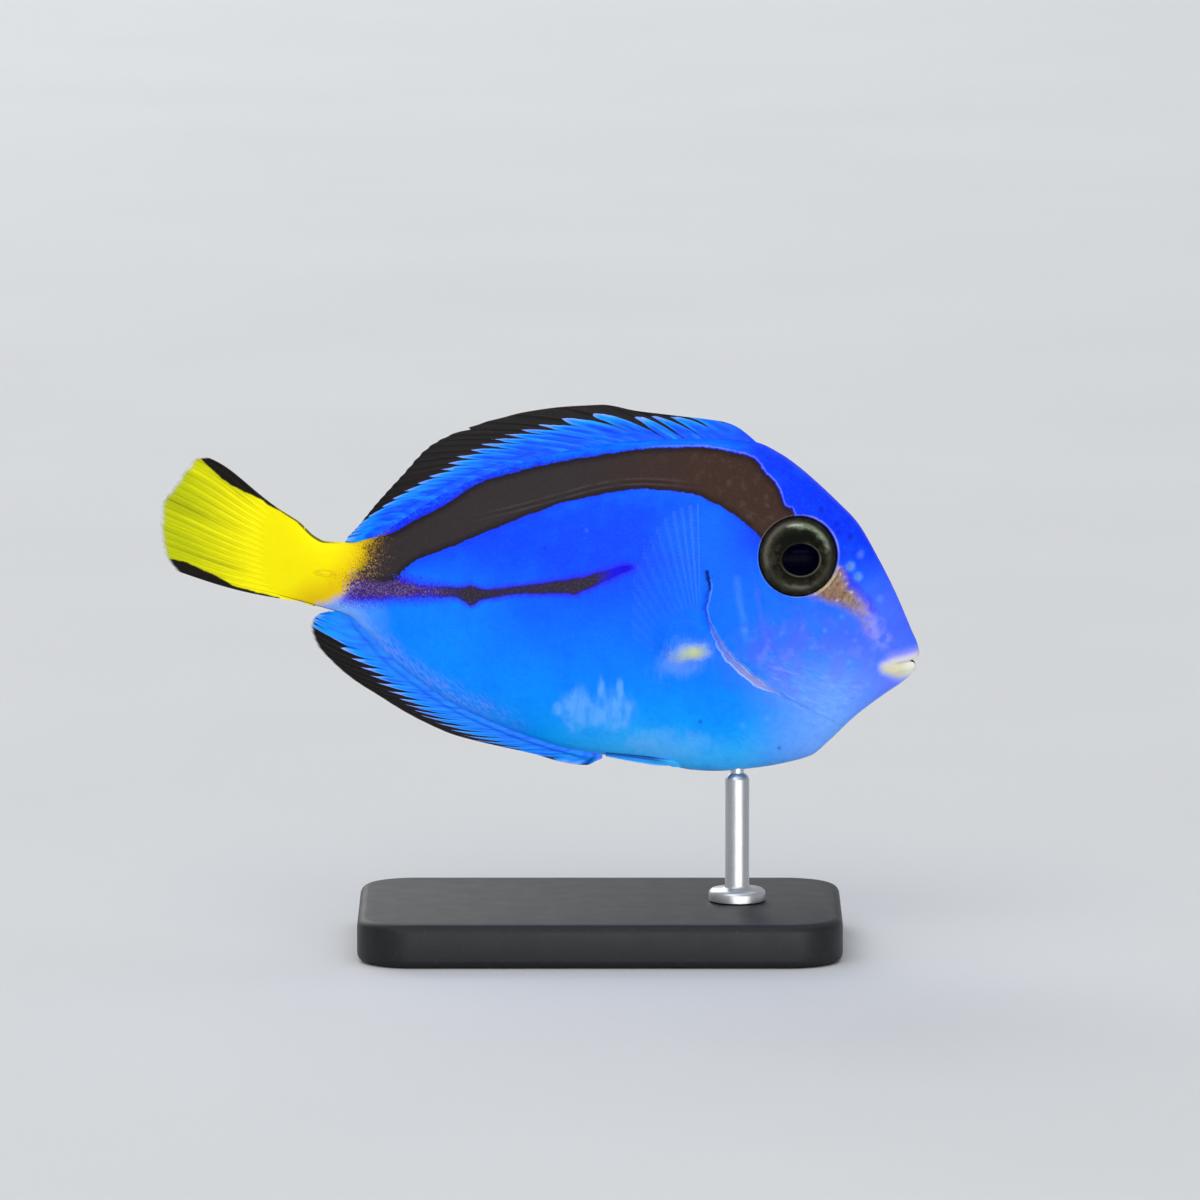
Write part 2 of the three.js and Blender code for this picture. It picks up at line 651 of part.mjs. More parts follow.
function rodGeometry() {
  const { radius, foot, footHeight, pin, pinDepth } = ROD;
  const bottom = BASE.height + GAP;
  const belly = keel(ROD.x) - GAP;
  const profile = [
    [0, bottom], [foot, bottom], [foot, bottom + footHeight - 0.3], [foot - 0.3, bottom + footHeight],
    [radius + 0.25, bottom + footHeight], [radius, bottom + footHeight + 0.3], [radius, belly - 0.6],
    [pin, belly], [pin, keel(ROD.x) + pinDepth - 0.2], [pin - 0.2, keel(ROD.x) + pinDepth],
    [0, keel(ROD.x) + pinDepth],
  ];
  const geometry = new THREE.LatheGeometry(profile.map(([r, z]) => new THREE.Vector2(r, z)), 16);
  return geometry.rotateX(Math.PI / 2).translate(ROD.x, 0, 0);
}

// Assembly

// The paired fins are cut clear of the body with its gill covers and pads, all a gap larger.
const clearance = bodySolid(GAP, GILL_STEP).add(bothSides(pectoralPad(GAP)));

addPiece("head", headGeometry(), "blue");
addPiece("torso", torsoGeometry(), "blue");
addPiece("tail_stalk", stalkGeometry(), "yellow");
addPiece("dorsal_fin", medianFin(DORSAL, DORSAL_LINE, topline, 1), "finBlue");
addPiece("anal_fin", medianFin(ANAL, ANAL_LINE, keel, -1), "finBlue");
addPiece("caudal_fin", caudalFin(), "yellow");

const pairs = [
  ["pectoral_fin", geometryOf(solid(pectoralFin()).subtract(clearance)), "clear"],
  ["pelvic_fin", geometryOf(solid(pelvicFin()).subtract(clearance)), "finBlue"],
  ["eye", eyeball(0), "iris"],
];
for (const [name, geometry, look] of pairs) {
  addPiece(name + "_right", geometry, look);
  addPiece(name + "_left", mirrored(geometry), look);
}

addPiece("stand_base", baseGeometry(), "base");
addPiece("stand_rod", rodGeometry(), "steel");

export default fish;
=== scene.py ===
"""A young regal blue tang as a still, life-size model on its display stand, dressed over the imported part.

Sizes and outlines are in millimetres, as in the part, and every piece is made in metres.
+X runs towards the snout, -Y is the fish's right side and +Z is up.
"""

import math

import bpy
import numpy as np
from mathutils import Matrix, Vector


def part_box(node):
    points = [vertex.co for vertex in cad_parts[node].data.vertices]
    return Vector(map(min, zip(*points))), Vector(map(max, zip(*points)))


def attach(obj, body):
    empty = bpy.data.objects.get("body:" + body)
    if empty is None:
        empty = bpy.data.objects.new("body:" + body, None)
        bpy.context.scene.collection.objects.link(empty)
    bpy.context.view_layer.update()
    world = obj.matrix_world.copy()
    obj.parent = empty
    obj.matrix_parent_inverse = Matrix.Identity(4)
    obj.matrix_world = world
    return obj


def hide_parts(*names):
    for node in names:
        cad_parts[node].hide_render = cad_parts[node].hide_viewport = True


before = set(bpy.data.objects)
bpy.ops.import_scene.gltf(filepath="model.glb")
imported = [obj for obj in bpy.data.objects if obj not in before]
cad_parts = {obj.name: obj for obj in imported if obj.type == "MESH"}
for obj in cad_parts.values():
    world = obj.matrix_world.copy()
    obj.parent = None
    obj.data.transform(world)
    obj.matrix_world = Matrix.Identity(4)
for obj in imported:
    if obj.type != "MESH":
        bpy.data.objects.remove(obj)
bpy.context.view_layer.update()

MM = 0.001
GAP = 0.3

# The body's outlines along the fish, each a list of (x, value)

TOPLINE = [
    (29, 26.95), (28.9, 27.6), (28.4, 28.8), (26.8, 32.55), (25.4, 35.35), (23.4, 38.8), (21.8, 40.5),
    (18.2, 43.8), (16.4, 45.1), (14.2, 46.15), (11, 46.6), (5.5, 46.55), (0, 46.1), (-5.5, 44.9),
    (-10.5, 43.35), (-14.5, 41.5), (-18.2, 39.1), (-20.6, 37.5), (-22.6, 36.8), (-25, 36.8), (-26, 37.2),
    (-27.4, 38.4), (-29.6, 39.7), (-31.4, 40.8),
]
KEEL = [
    (29, 26.75), (28.9, 26.2), (28.6, 25.35), (28.2, 24.8), (27.3, 24.05), (25.9, 23.1), (23.2, 21.05),
    (20.9, 18.85),
    (19.3, 17.5), (18, 17.05), (14.5, 16.35), (10.5, 16), (8.5, 16.1), (4, 17.1), (0.4, 17.5),
    (-2.7, 18), (-6.4, 19.1), (-10, 20.5), (-13.2, 22), (-16.2, 24), (-19.1, 26.3), (-21.2, 28.6),
    (-22.8, 30.1), (-24.5, 30.55), (-27.4, 31.2), (-29.6, 31.6), (-31.4, 31.95),
]
WIDEST = [
    (29, 26.8), (26, 27.6), (22, 30.2), (18, 32.5), (12, 33), (0, 32.4), (-12, 32.4), (-27.4, 34.6),
    (-31.4, 36.3),
]
HALF_WIDTH = [
    (29, 0.15), (28.9, 0.5), (28.5, 0.9), (27.7, 1.25), (26.8, 1.55), (25.4, 2), (23.4, 2.65), (20, 3.55),
    (16, 4.25), (12, 4.6), (8, 4.7), (2, 4.5), (-4, 3.95), (-10, 3.05), (-16, 2.1), (-20, 1.55),
    (-24, 1.2), (-27.4, 0.62), (-29.4, 0.3), (-31.4, 0.04),
]
CREST = [
    (29, 0.1), (27, 0.35), (20, 0.8), (12, 0.55), (0, 0.45), (-27.4, 0.3), (-29.6, 0.12), (-31.4, 0.03),
]
SNOUT_X = 29
FLESH_END_X = -31.4
STALK_END_X = -27.4
UPPER_FULLNESS = 1.35
LOWER_FULLNESS = 1.2
BEND_START = -12
BEND_LENGTH = 18
BEND_RISE = math.tan(math.radians(26))

# What lies on the flank, each an outline or a line of (x, z)

BAND = [
    (-22, 36.7), (-20.4, 37.3), (-18.5, 38.1), (-17.2, 38.85), (-16, 39.55), (-14.5, 40.3),
    (-12.7, 41.5), (-10.9, 42.6), (-7.3, 43.7), (-3.6, 44.55), (0, 45.15), (3.6, 45.7), (7.3, 45.85),
    (9.1, 45.9), (10.9, 45.67), (13.6, 45.05), (14.4, 44.5), (14.75, 43.9), (15.95, 42.6), (16.5, 41.5),
    (16.7, 40.75), (17.15, 40.45), (17.5, 40.1), (18.6, 36.5), (15.3, 36.6), (14.45, 37.96),
    (13.2, 39.14), (11.8, 40.2), (10, 41.2), (8.6, 41.8), (4.6, 42.25), (2.3, 42.1), (0, 41.75),
    (-3.6, 40.9), (-7.3, 39.5), (-11.4, 37.75), (-14.5, 36.45), (-16.4, 35.6), (-17.4, 34.8),
    (-17.9, 34.2), (-18.3, 33.8), (-20.2, 33.5), (-21.9, 34),
]
ARM = [
    (-23.2, 33.2), (-21.4, 34.5), (-18.3, 34), (-16.2, 33.4), (-12.7, 33.28), (-11.8, 33.45), (-10.9, 33.2),
    (-9.1, 33.25), (-5.5, 33.8), (-1.8, 34.4), (0.3, 35.0), (2.2, 35.5), (3.4, 35.35), (1.9, 34.65),
    (0, 33.75), (-1.8, 32.95), (-2.3, 32.72), (-3.6, 32.82), (-7.3, 32.65), (-9.1, 32.4),
    (-10.9, 32.0), (-11.7, 31.55), (-12.3, 31.9), (-13.2, 32.25), (-16, 32.2), (-18.5, 32.05),
    (-21, 31.7), (-23.2, 31.9),
]
YELLOW_EDGE = [
    (-20.4, 38.5), (-20.6, 37.1), (-20.75, 36.1), (-21.1, 35.1), (-21.7, 34), (-22.6, 32.8), (-23.8, 31.75),
    (-25.2, 31.05), (-26.5, 30.2),
]
GILL_EDGE = [
    (9.7, 35.3), (9.75, 34.8), (9.92, 34.2), (9.95, 33.3), (9.72, 32.3), (9.6, 31.3), (9.85, 30.5),
    (10.45, 29.3), (11.35, 27.9), (12.3, 26.8), (13.65, 25.55), (15, 24.5), (16.4, 23.6), (17.6, 22.9),
]
CHEEK_FOLD = [(14.2, 33.2), (14.4, 32.2), (14.7, 30.5), (15.1, 29), (15.5, 27.7), (16.1, 26.5), (17, 25.1)]
THROAT_FOLDS = [
    [(15, 25.7), (17.3, 23.9), (19.5, 22.8), (21.9, 22.3)],
    [(16.2, 26), (18.5, 24.5), (20.8, 23.5), (23.1, 23.1)],
    [(17, 23.2), (19.3, 21.7), (21.5, 21.1)],
    [(17.8, 26.2), (20.2, 24.9), (22.4, 24.2), (24, 24.1)],
]
LATERAL_LINE = [
    (-21, 36.4), (-17, 37.3), (-11.8, 39.3), (-7.7, 40.4), (-3.6, 41.55), (0, 42.5), (3.6, 42.95),
    (8.2, 42.65), (11, 42), (13.3, 41.2),
]
TAN_PATCH = [
    (19.1, 32.9), (20.2, 32.2), (21.5, 31.8), (22.7, 31.2), (23.5, 30.2), (24.1, 29.1), (24.9, 28.2),
    (25.8, 27.6), (26.3, 28.1), (25.8, 29.4), (25, 30.7), (23.9, 32), (22.9, 33.1), (22.1, 34.2),
    (21.6, 34.9),
]
VIOLET_LINE = [(22.0, 34.7), (22.9, 33.4), (24, 32.1), (24.9, 31)]
PALE_STREAK = [(12.4, 34.2), (12.6, 32.3), (13, 30.5), (13.2, 28.7)]
MOUTH_LINE = [(24, 25.5), (26.4, 25.9), (27.2, 26.03), (28.25, 26.22), (29.2, 26.6)]
UPPER_LIP = [
    (29.5, 27.5), (28.6, 27.25), (27.9, 27.05), (27.2, 26.85), (26.6, 26.45), (26.6, 25.95), (27.5, 26.05),
    (28.25, 26.2), (29.5, 26.5),
]
LOWER_LIP = [
    (26, 25.8), (26.6, 26.05), (27.4, 26.25), (28.25, 26.4), (28.9, 26.5), (29.2, 25.4), (28.9, 24.2),
    (28, 24.15), (27.25, 24.65), (26.6, 25.35),
]
GAPE = [
    (25, 29.2), (25.4, 28.85), (25.75, 28.72), (26, 28.6), (26.14, 28.4), (26.24, 28.15), (26.34, 28.42),
    (26.5, 28.8), (26.75, 29.2), (27, 29.5),
]
DARK_DOTS = [
    (20, 40.2, 0.3), (21.4, 38.9, 0.3), (21.6, 38.15, 0.28), (22.7, 37.7, 0.35), (9.1, 21, 0.25),
    (16.3, 18.4, 0.22), (4.6, 37.3, 0.2), (-5, 36.9, 0.18), (22.2, 36.3, 0.16),
]
PALE_DOTS = [
    (23.6, 36.1, 0.45), (25.4, 32.1, 0.5), (13.1, 29.6, 0.4), (24.8, 27.6, 0.5), (21.9, 30.6, 0.3),
    (20.4, 29.4, 0.32), (23.1, 28.4, 0.3), (19.2, 27.9, 0.3), (-1.2, 38.6, 0.24), (12.9, 20.6, 0.4),
    (15.2, 21.3, 0.45), (22.6, 26.4, 0.3),
]

# Oval patches on the flank, as (x, z, half length, half height)

BELLY_CLOUDS = [
    (-3.9, 22.1, 0.6, 0.65), (-2.1, 22, 1.5, 2.3), (1.3, 22, 1.9, 2), (-0.2, 21.6, 1.6, 1.2),
    (0.1, 24.1, 0.35, 1.4), (1.8, 23.9, 0.4, 1.2), (6.6, 18.8, 4.4, 1.7),
]
CHEEK = (18.5, 26.8, 8.5, 5)
LOBE = (7.6, 29, 2.9, 2.7)
LOBE_PALE = (7.8, 27.1, 3.5, 2.3)
LOBE_YELLOW = (8.3, 27.55, 1.5, 0.78)
BLADE_GROOVE = (-24.8, 34, 0.85, 0.32)

# Sizes of the small forms

EYE = {"x": 17.95, "z": 36.2, "radius": 3.6, "rim": 3.62}
NOSTRILS = [(22.7, 35.1, 0.36), (23.4, 34.15, 0.3)]
GILL_STEP = 0.17
LOBE_PROUD = 0.42
SCALE_SIZE = 0.34
TAIL_BLADE = {"x": -24.8, "z": 34, "length": 1.2, "height": 0.34}
SIDES = {-1: "right", 1: "left"}

# The back and belly fins. Their rays curve away by bow and crowd towards the tail, the last ones trail
# beside the body, and the edge has a small dent at one place. Tooth is how deep the black cuts in
# between the rays, and pale_tip how pale the blue is where it ends on a ray.

DORSAL = {
    "spines": 9, "rays": 20, "bow": 0.35, "trail": 0, "crowd": 0.5, "dent": -12.5,
    "clear_edge": 0.012, "tooth": 1.2, "pale_tip": 0.75,
}
ANAL = {
    "spines": 3, "rays": 19, "bow": 0.6, "trail": 0.6, "crowd": 0.35, "dent": 0,
    "clear_edge": 0.06, "tooth": 1.9, "pale_tip": 0.9,
}
DORSAL_ROOT_BLUE = (0, 84, 251)
ANAL_ROOT_BLUE = (30, 124, 254)
FIN_BLACK = (18, 14, 8)
TAIL_RAYS = 18
TAIL_RISE = 0.58
TAIL_SAG = 0.35
PECTORAL_RAYS = 14
PELVIC_RAYS = 4

# Where each ray leaves the body and where its tip is, (root x, tip x, tip z)

DORSAL_LINE = [
    (15.6, 15.1, 45.2), (14.6, 13.8, 46.6), (13, 11, 48.05), (11, 7.2, 48.55), (8.5, 3.2, 49.05),
    (6, 0, 49.6), (4, -4.6, 49.3), (2, -9.1, 48.4), (-1, -12.8, 47.2), (-5, -15.5, 45.8),
    (-10, -18.1, 43), (-14.3, -20.3, 40.5), (-18.5, -22.2, 38.1), (-21.5, -23.3, 36.95),
]
ANAL_LINE = [
    (0.2, -0.1, 17.05), (-0.5, -1.3, 16.5), (-1.3, -3.1, 16.7), (-2.4, -6.3, 17.6), (-3.8, -10, 18.45),
    (-5.2, -13.6, 19.4), (-7, -15.9, 20.4), (-9.2, -18.2, 21.6), (-11.5, -20.4, 22.95),
    (-13.8, -22.7, 24.35), (-16, -24.5, 25.8), (-18.3, -26, 27.5), (-20.2, -26.4, 28.9),
    (-21.6, -26.1, 29.8), (-22.7, -25.3, 30.05),
]

# The same for the tail fin, (share of its height from the top, tip x, tip z), and for the pectoral fin,
# (share of its width, root x, root z, tip x, tip z, how far the tip stands out)

CAUDAL_LINE = [
    (0, -35.9, 43.85), (0.07, -36.8, 43.75), (0.17, -37.8, 42.75), (0.3, -38.7, 41.4), (0.41, -39.5, 40.2),
    (0.52, -40.2, 39), (0.63, -40.25, 37.6), (0.74, -40.15, 36.3), (0.87, -39.9, 34.8), (1, -38.8, 33.2),
]
PECTORAL_LINE = [
    (0, 9.1, 30.6, 8.9, 41.7, 3.6), (0.2, 8.5, 30.9, 6.9, 41.3, 4.6), (0.45, 7.4, 30.4, 4.6, 38.8, 5.2),
    (0.7, 6.3, 29.2, 3, 34.8, 4.8), (1, 5.3, 27.2, 2.8, 29.5, 3.2),
]

# The lower and upper edge of the pelvic fins, as (x, z)

PELVIC_LOWER = [(8.7, 16.7), (7.5, 16.6), (5.5, 16.6), (3.6, 16.85), (0.5, 17.45)]
PELVIC_UPPER = [(8.7, 16.8), (6.5, 17.1), (3.6, 17.45), (0.5, 17.75)]

# Where the fins turn black, as lines of (x, z)

DORSAL_BLACK = [
    (-24, 36.4), (-23.2, 37.1), (-21.8, 38.6), (-20, 39.95), (-18.2, 41.3), (-15.45, 42.9),
    (-13.6, 43.9), (-12.7, 44.75), (-10.45, 45.65), (-8.2, 46.75), (-5, 47.55), (-3.6, 48),
    (-0.3, 48.6), (3.6, 48.3), (8.2, 48.4), (11, 48.6),
]
ANAL_BLACK = [
    (-27, 28.8), (-26, 28.6), (-25.1, 28.35), (-24, 27.8), (-22.9, 26.85), (-21.8, 26), (-19.6, 24.2),
    (-17.5, 22.55), (-15.3, 21.1), (-13.1, 19.95), (-10.9, 19.05), (-9.8, 18.65), (-8.7, 18.3),
    (-7.6, 17.9), (-6.5, 17.4), (-5, 16.7), (-2.5, 15.6), (0.5, 14.2),
]
CAUDAL_UPPER_BLACK = [
    (-36.5, 43.7), (-35.45, 42.75), (-34.55, 42), (-33.6, 41.45), (-32.7, 41.05), (-31.1, 40.35),
    (-30, 39.75), (-28.6, 39.2),
]
CAUDAL_LOWER_BLACK = [
    (-40, 34.4), (-39.4, 34.3), (-38.2, 34.15), (-36.4, 33.5), (-35, 33), (-34.1, 32.55), (-33.2, 32.15),
    (-31.4, 31.75), (-28.6, 31.35),
]

# The stand. The rod's outline is (radius, height over the base), then (radius, height over the pin's
# root), and starts from a circle on the base.

BASE_CORNER = 5
BASE_SOFT_EDGE = 0.8
ROD_FOOT = [(2.6, 0.12), (2.6, 0.75), (2.52, 0.98), (2.3, 1.15), (1.45, 1.2), (1.2, 1.3), (1.1, 1.55)]
ROD_TOP = [(1.1, -0.9), (0.95, -0.55), (0.6, -0.3), (0.6, 2.6), (0.4, 2.9)]
ROD_START = 2.3
PIN_LENGTH = 3

# The room, in metres. A light is (name, place, size, watts).

FLOOR_RADIUS = 2.4
WALL_HEIGHT = 2
WALL_SWEEP = 1
ROOM_GLOW = 0.4
LIGHTS = [
    ("key_light", (-0.45, -1.1, 1.1), (1.1, 0.9), 5.7),
    ("fill_light", (0.35, -1.4, 0.13), (1.5, 0.24), 11.5),
    ("back_light", (-0.6, 1.25, 0.8), (1.1, 0.9), 8),
    ("ceiling_light", (0, 0, 1.9), (3, 3), 20),
]
LIT_SPOT = (0, 0, 0.032)
CAMERA_TILT = math.radians(8)
CAMERA_DISTANCE = 1.2
CAMERA_AIM_HEIGHT = 0.0317
LENS_LENGTH = 396
SENSOR_WIDTH = 36


# Curves and distances


def curve(points):
    """A smooth curve through (x, value) points that never overshoots them."""
    xs, values = np.array(sorted(points), float).T
    slopes = np.diff(values) / np.diff(xs)
    before = np.concatenate([slopes[:1], slopes])
    after = np.concatenate([slopes, slopes[-1:]])
    both = np.where(before * after > 0, before + after, 1)
    tangents = np.where(before * after > 0, 2 * before * after / both, 0)

    def at(x):
        x = np.clip(np.asarray(x, float), xs[0], xs[-1])
        i = np.clip(np.searchsorted(xs, x, side="right") - 1, 0, len(xs) - 2)
        h = xs[i + 1] - xs[i]
        t = (x - xs[i]) / h
        start = values[i] * (1 + 2 * t) * (1 - t) ** 2 + tangents[i] * h * t * (1 - t) ** 2
        return start + values[i + 1] * t * t * (3 - 2 * t) + tangents[i + 1] * h * t * t * (t - 1)

    return at


def column(table, k):
    """The curve of one column of a table over its first column."""
    return curve([(row[0], row[k]) for row in table])


def ease(start, end, x):
    """Rises smoothly from 0 at start to 1 at end."""
    t = np.clip((x - start) / (end - start), 0, 1)
    return t * t * (3 - 2 * t)


def hump(distance, width):
    """1 at no distance, and less to either side, over a width."""
    return np.exp(-((distance / width) ** 2))


def lerp(a, b, t):
    """From a at 0 to b at 1."""
    return a + (b - a) * t


def rounded(points, closed=False, steps=8):
    """A smooth line through the points, as many short straight ones."""
    p = np.array(points, float)
    ends = (p[-1:], p[:2]) if closed else (2 * p[:1] - p[1:2], 2 * p[-1:] - p[-2:-1])
    q = np.concatenate([ends[0], p, ends[1]])
    line = []
    for a, b, c, d in zip(q, q[1:], q[2:], q[3:]):
        for t in np.arange(steps) / steps:
            bend = 2 * a - 5 * b + 4 * c - d + t * (3 * (b - c) + d - a)
            line.append(b + 0.5 * t * (c - a + t * bend))
    line.append(q[-2])
    return np.array(line)


def away(x, z, points, closed=False):
    """How far each point is from a line, below 0 on its right side, and how far along it is, from 0 to 1.

    For a closed outline the distance is above 0 inside and below 0 outside.
    """
    line = rounded(points, closed)
    best = np.full(x.shape, 1e9)
    side = np.ones(x.shape)
    along = np.zeros(x.shape)
    inside = np.zeros(x.shape, bool)
    pieces = len(line) - 1
    for i, (a, b) in enumerate(zip(line, line[1:])):
        d = b - a
        size = max(d @ d, 1e-12)
        t = np.clip(((x - a[0]) * d[0] + (z - a[1]) * d[1]) / size, 0, 1)
        gap = np.hypot(x - a[0] - t * d[0], z - a[1] - t * d[1])
        nearer = gap < best
        best = np.where(nearer, gap, best)
        turn = d[0] * (z - a[1]) - d[1] * (x - a[0])
        side = np.where(nearer, np.sign(turn), side)
        along = np.where(nearer, (i + t) / pieces, along)
        if closed and abs(d[1]) > 1e-9:
            crossed = (a[1] > z) != (b[1] > z)
            inside ^= crossed & (x < a[0] + (z - a[1]) * d[0] / d[1])
    if closed:
        side = np.where(inside, 1.0, -1.0)
    return best * side, along


def oval(x, z, patch):
    """How far out from an oval patch's middle each point is. Its edge is at 1."""
    middle_x, middle_z, length, height = patch
    return np.hypot((x - middle_x) / length, (z - middle_z) / height)


topline, keel, widest = curve(TOPLINE), curve(KEEL), curve(WIDEST)
half_width, crest = curve(HALF_WIDTH), curve(CREST)
mouth, gape = curve(MOUTH_LINE), curve(GAPE)


def place(x, y, z):
    """Where a point of the straight fish lies once its hind body is curved."""
    past = np.maximum(0, BEND_START - x)
    t = np.minimum(1, past / BEND_LENGTH)
    side = BEND_RISE * (BEND_LENGTH * (t**3 - t**4 / 2) + np.maximum(0, past - BEND_LENGTH))
    slope = BEND_RISE * (3 * t * t - 2 * t**3)
    long = np.hypot(1, slope)
    return np.stack(np.broadcast_arrays(x + y * slope / long, side + y / long, z), -1)


def section_width(up, wide, back):
    """Half the body's width at a share of the way up to its back, or down to its keel."""
    across = np.sqrt(np.clip(1 - up * up, 0, 1))
    fullness = np.where(up > 0, UPPER_FULLNESS, LOWER_FULLNESS)
    return back * across**0.4 + (wide - back) * across**fullness


def flank(x, z):
    """Half the fish's width at height z."""
    mid = widest(x)
    up = np.where(z > mid, (z - mid) / (topline(x) - mid), (z - mid) / (mid - keel(x)))
    return section_width(np.clip(up, -1, 1), half_width(x), crest(x))


def outward(x, z):
    """The direction that faces straight out of the right flank."""
    d = 0.5
    along = (flank(x + d, z) - flank(x - d, z)) / (2 * d)
    above = (flank(x, z + d) - flank(x, z - d)) / (2 * d)
    facing = np.array([-along, -1, -above])
    return facing / np.linalg.norm(facing)


# Working on pieces


def select_only(piece):
    """Makes this the one piece that is selected and active."""
    bpy.ops.object.select_all(action="DESELECT")
    piece.select_set(True)
    bpy.context.view_layer.objects.active = piece


def shape(piece, points):
    """Moves a piece's vertices to these points, given in millimetres."""
    piece.data.vertices.foreach_set("co", (points * MM).astype(np.float32).ravel())
    piece.data.update()


def note(piece, name, values):
    """Keeps one number for each vertex, which the finishes read."""
    layer = piece.data.attributes.new(name, "FLOAT", "POINT")
    layer.data.foreach_set("value", np.asarray(values, np.float32).ravel())


def vertex_places(piece):
    """The x, y and z of a primitive's vertices."""
    places = np.zeros(len(piece.data.vertices) * 3, np.float32)
    piece.data.vertices.foreach_get("co", places)
    return places.reshape(-1, 3).astype(float).T


def ball(name, segments, rings):
    """A ball primitive, and the ring and segment number of each of its vertices."""
    bpy.ops.object.select_all(action="DESELECT")
    bpy.ops.mesh.primitive_uv_sphere_add(segments=segments, ring_count=rings, radius=1)
    piece = bpy.context.object
    piece.name = name
    x, y, z = vertex_places(piece)
    ring = np.rint(np.arctan2(np.hypot(x, y), z) / math.pi * rings).astype(int)
    segment = np.rint(np.arctan2(y, x) / (2 * math.pi) * segments).astype(int) % segments
    return piece, ring, segment


def grid(name, columns, rows):
    """A flat grid primitive, and the column and row share of each vertex, from 0 to 1."""
    bpy.ops.object.select_all(action="DESELECT")
    bpy.ops.mesh.primitive_grid_add(x_subdivisions=columns, y_subdivisions=rows, size=2)
    piece = bpy.context.object
    piece.name = name
    x, y, _ = vertex_places(piece)
    return piece, np.rint((x + 1) / 2 * columns) / columns, np.rint((y + 1) / 2 * rows) / rows


def turn_faces(piece, inwards=False):
    """Makes all faces of a piece look outwards, or inwards."""
    select_only(piece)
    bpy.ops.object.mode_set(mode="EDIT")
    bpy.ops.mesh.select_all(action="SELECT")
    bpy.ops.mesh.normals_make_consistent(inside=inwards)
    bpy.ops.object.mode_set(mode="OBJECT")


def bevel_edges(piece, chosen, size, segments):
    """Rounds the edges that are chosen by their two ends, by a size in metres."""
    bpy.ops.object.mode_set(mode="EDIT")
    bpy.ops.mesh.select_mode(type="EDGE")
    bpy.ops.mesh.select_all(action="DESELECT")
    bpy.ops.object.mode_set(mode="OBJECT")
    for edge in piece.data.edges:
        edge.select = bool(chosen(*(piece.data.vertices[k].co for k in edge.vertices)))
    bpy.ops.object.mode_set(mode="EDIT")
    bpy.ops.mesh.bevel(offset=size, offset_type="OFFSET", segments=segments, affect="EDGES")
    bpy.ops.object.mode_set(mode="OBJECT")


def thicken(piece, thickness):
    """Gives a sheet two faces and a rim, with its own thickness at each vertex, in millimetres."""
    most = float(thickness.max())
    group = piece.vertex_groups.new(name="thickness")
    for i, share in enumerate(thickness / most):
        group.add([i], float(share), "REPLACE")
    select_only(piece)
    wall = piece.modifiers.new("wall", "SOLIDIFY")
    wall.thickness = most * MM
    wall.offset = 0
    wall.vertex_group = "thickness"
    bpy.ops.object.modifier_apply(modifier="wall")
    piece.vertex_groups.clear()
    turn_faces(piece)


def finish_piece(piece, finish, slot, *nodes):
    """Gives a piece its finish and puts it in the frame in place of these nodes."""
    piece.data.materials.clear()
    piece.data.materials.append(finish)
    select_only(piece)
    bpy.ops.object.shade_smooth()
    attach(piece, "root")
    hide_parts(*nodes)
    return piece


# Finishes


def paint(red, green, blue):
    """A colour as it looks on a screen, each part from 0 to 255, as light values."""
    parts = [c / 255 for c in (red, green, blue)]
    return tuple(c / 12.92 if c <= 0.04045 else ((c + 0.055) / 1.055) ** 2.4 for c in parts) + (1.0,)


class Wire:
    """A value in a finish's nodes. Python's signs add the Math nodes."""

    def __init__(self, finish, socket):
        self.finish = finish
        self.socket = socket

    def math(self, operation, *terms):
        return self.finish.node("ShaderNodeMath", {"operation": operation}, dict(enumerate(terms)))

    def __add__(self, other):
        return self.math("ADD", self, other)

    __radd__ = __add__

    def __sub__(self, other):
        return self.math("SUBTRACT", self, other)

    def __rsub__(self, other):
        return self.math("SUBTRACT", other, self)

    def __mul__(self, other):
        return self.math("MULTIPLY", self, other)

    __rmul__ = __mul__

    def __truediv__(self, other):
        return self.math("DIVIDE", self, other)

    def __pow__(self, other):
        return self.math("POWER", self, other)

    def __abs__(self):
        return self.math("ABSOLUTE", self)

    def fraction(self):
        return self.math("FRACT", self)

    def wave(self):
        return self.math("SINE", self)

    def highest(self, other):
        return self.math("MAXIMUM", self, other)

    def ease(self, start, end):
        """Rises smoothly from 0 at start to 1 at end."""
        sockets = {"Value": self, "From Min": start, "From Max": end}
        return self.finish.node("ShaderNodeMapRange", {"interpolation_type": "SMOOTHSTEP"}, sockets)


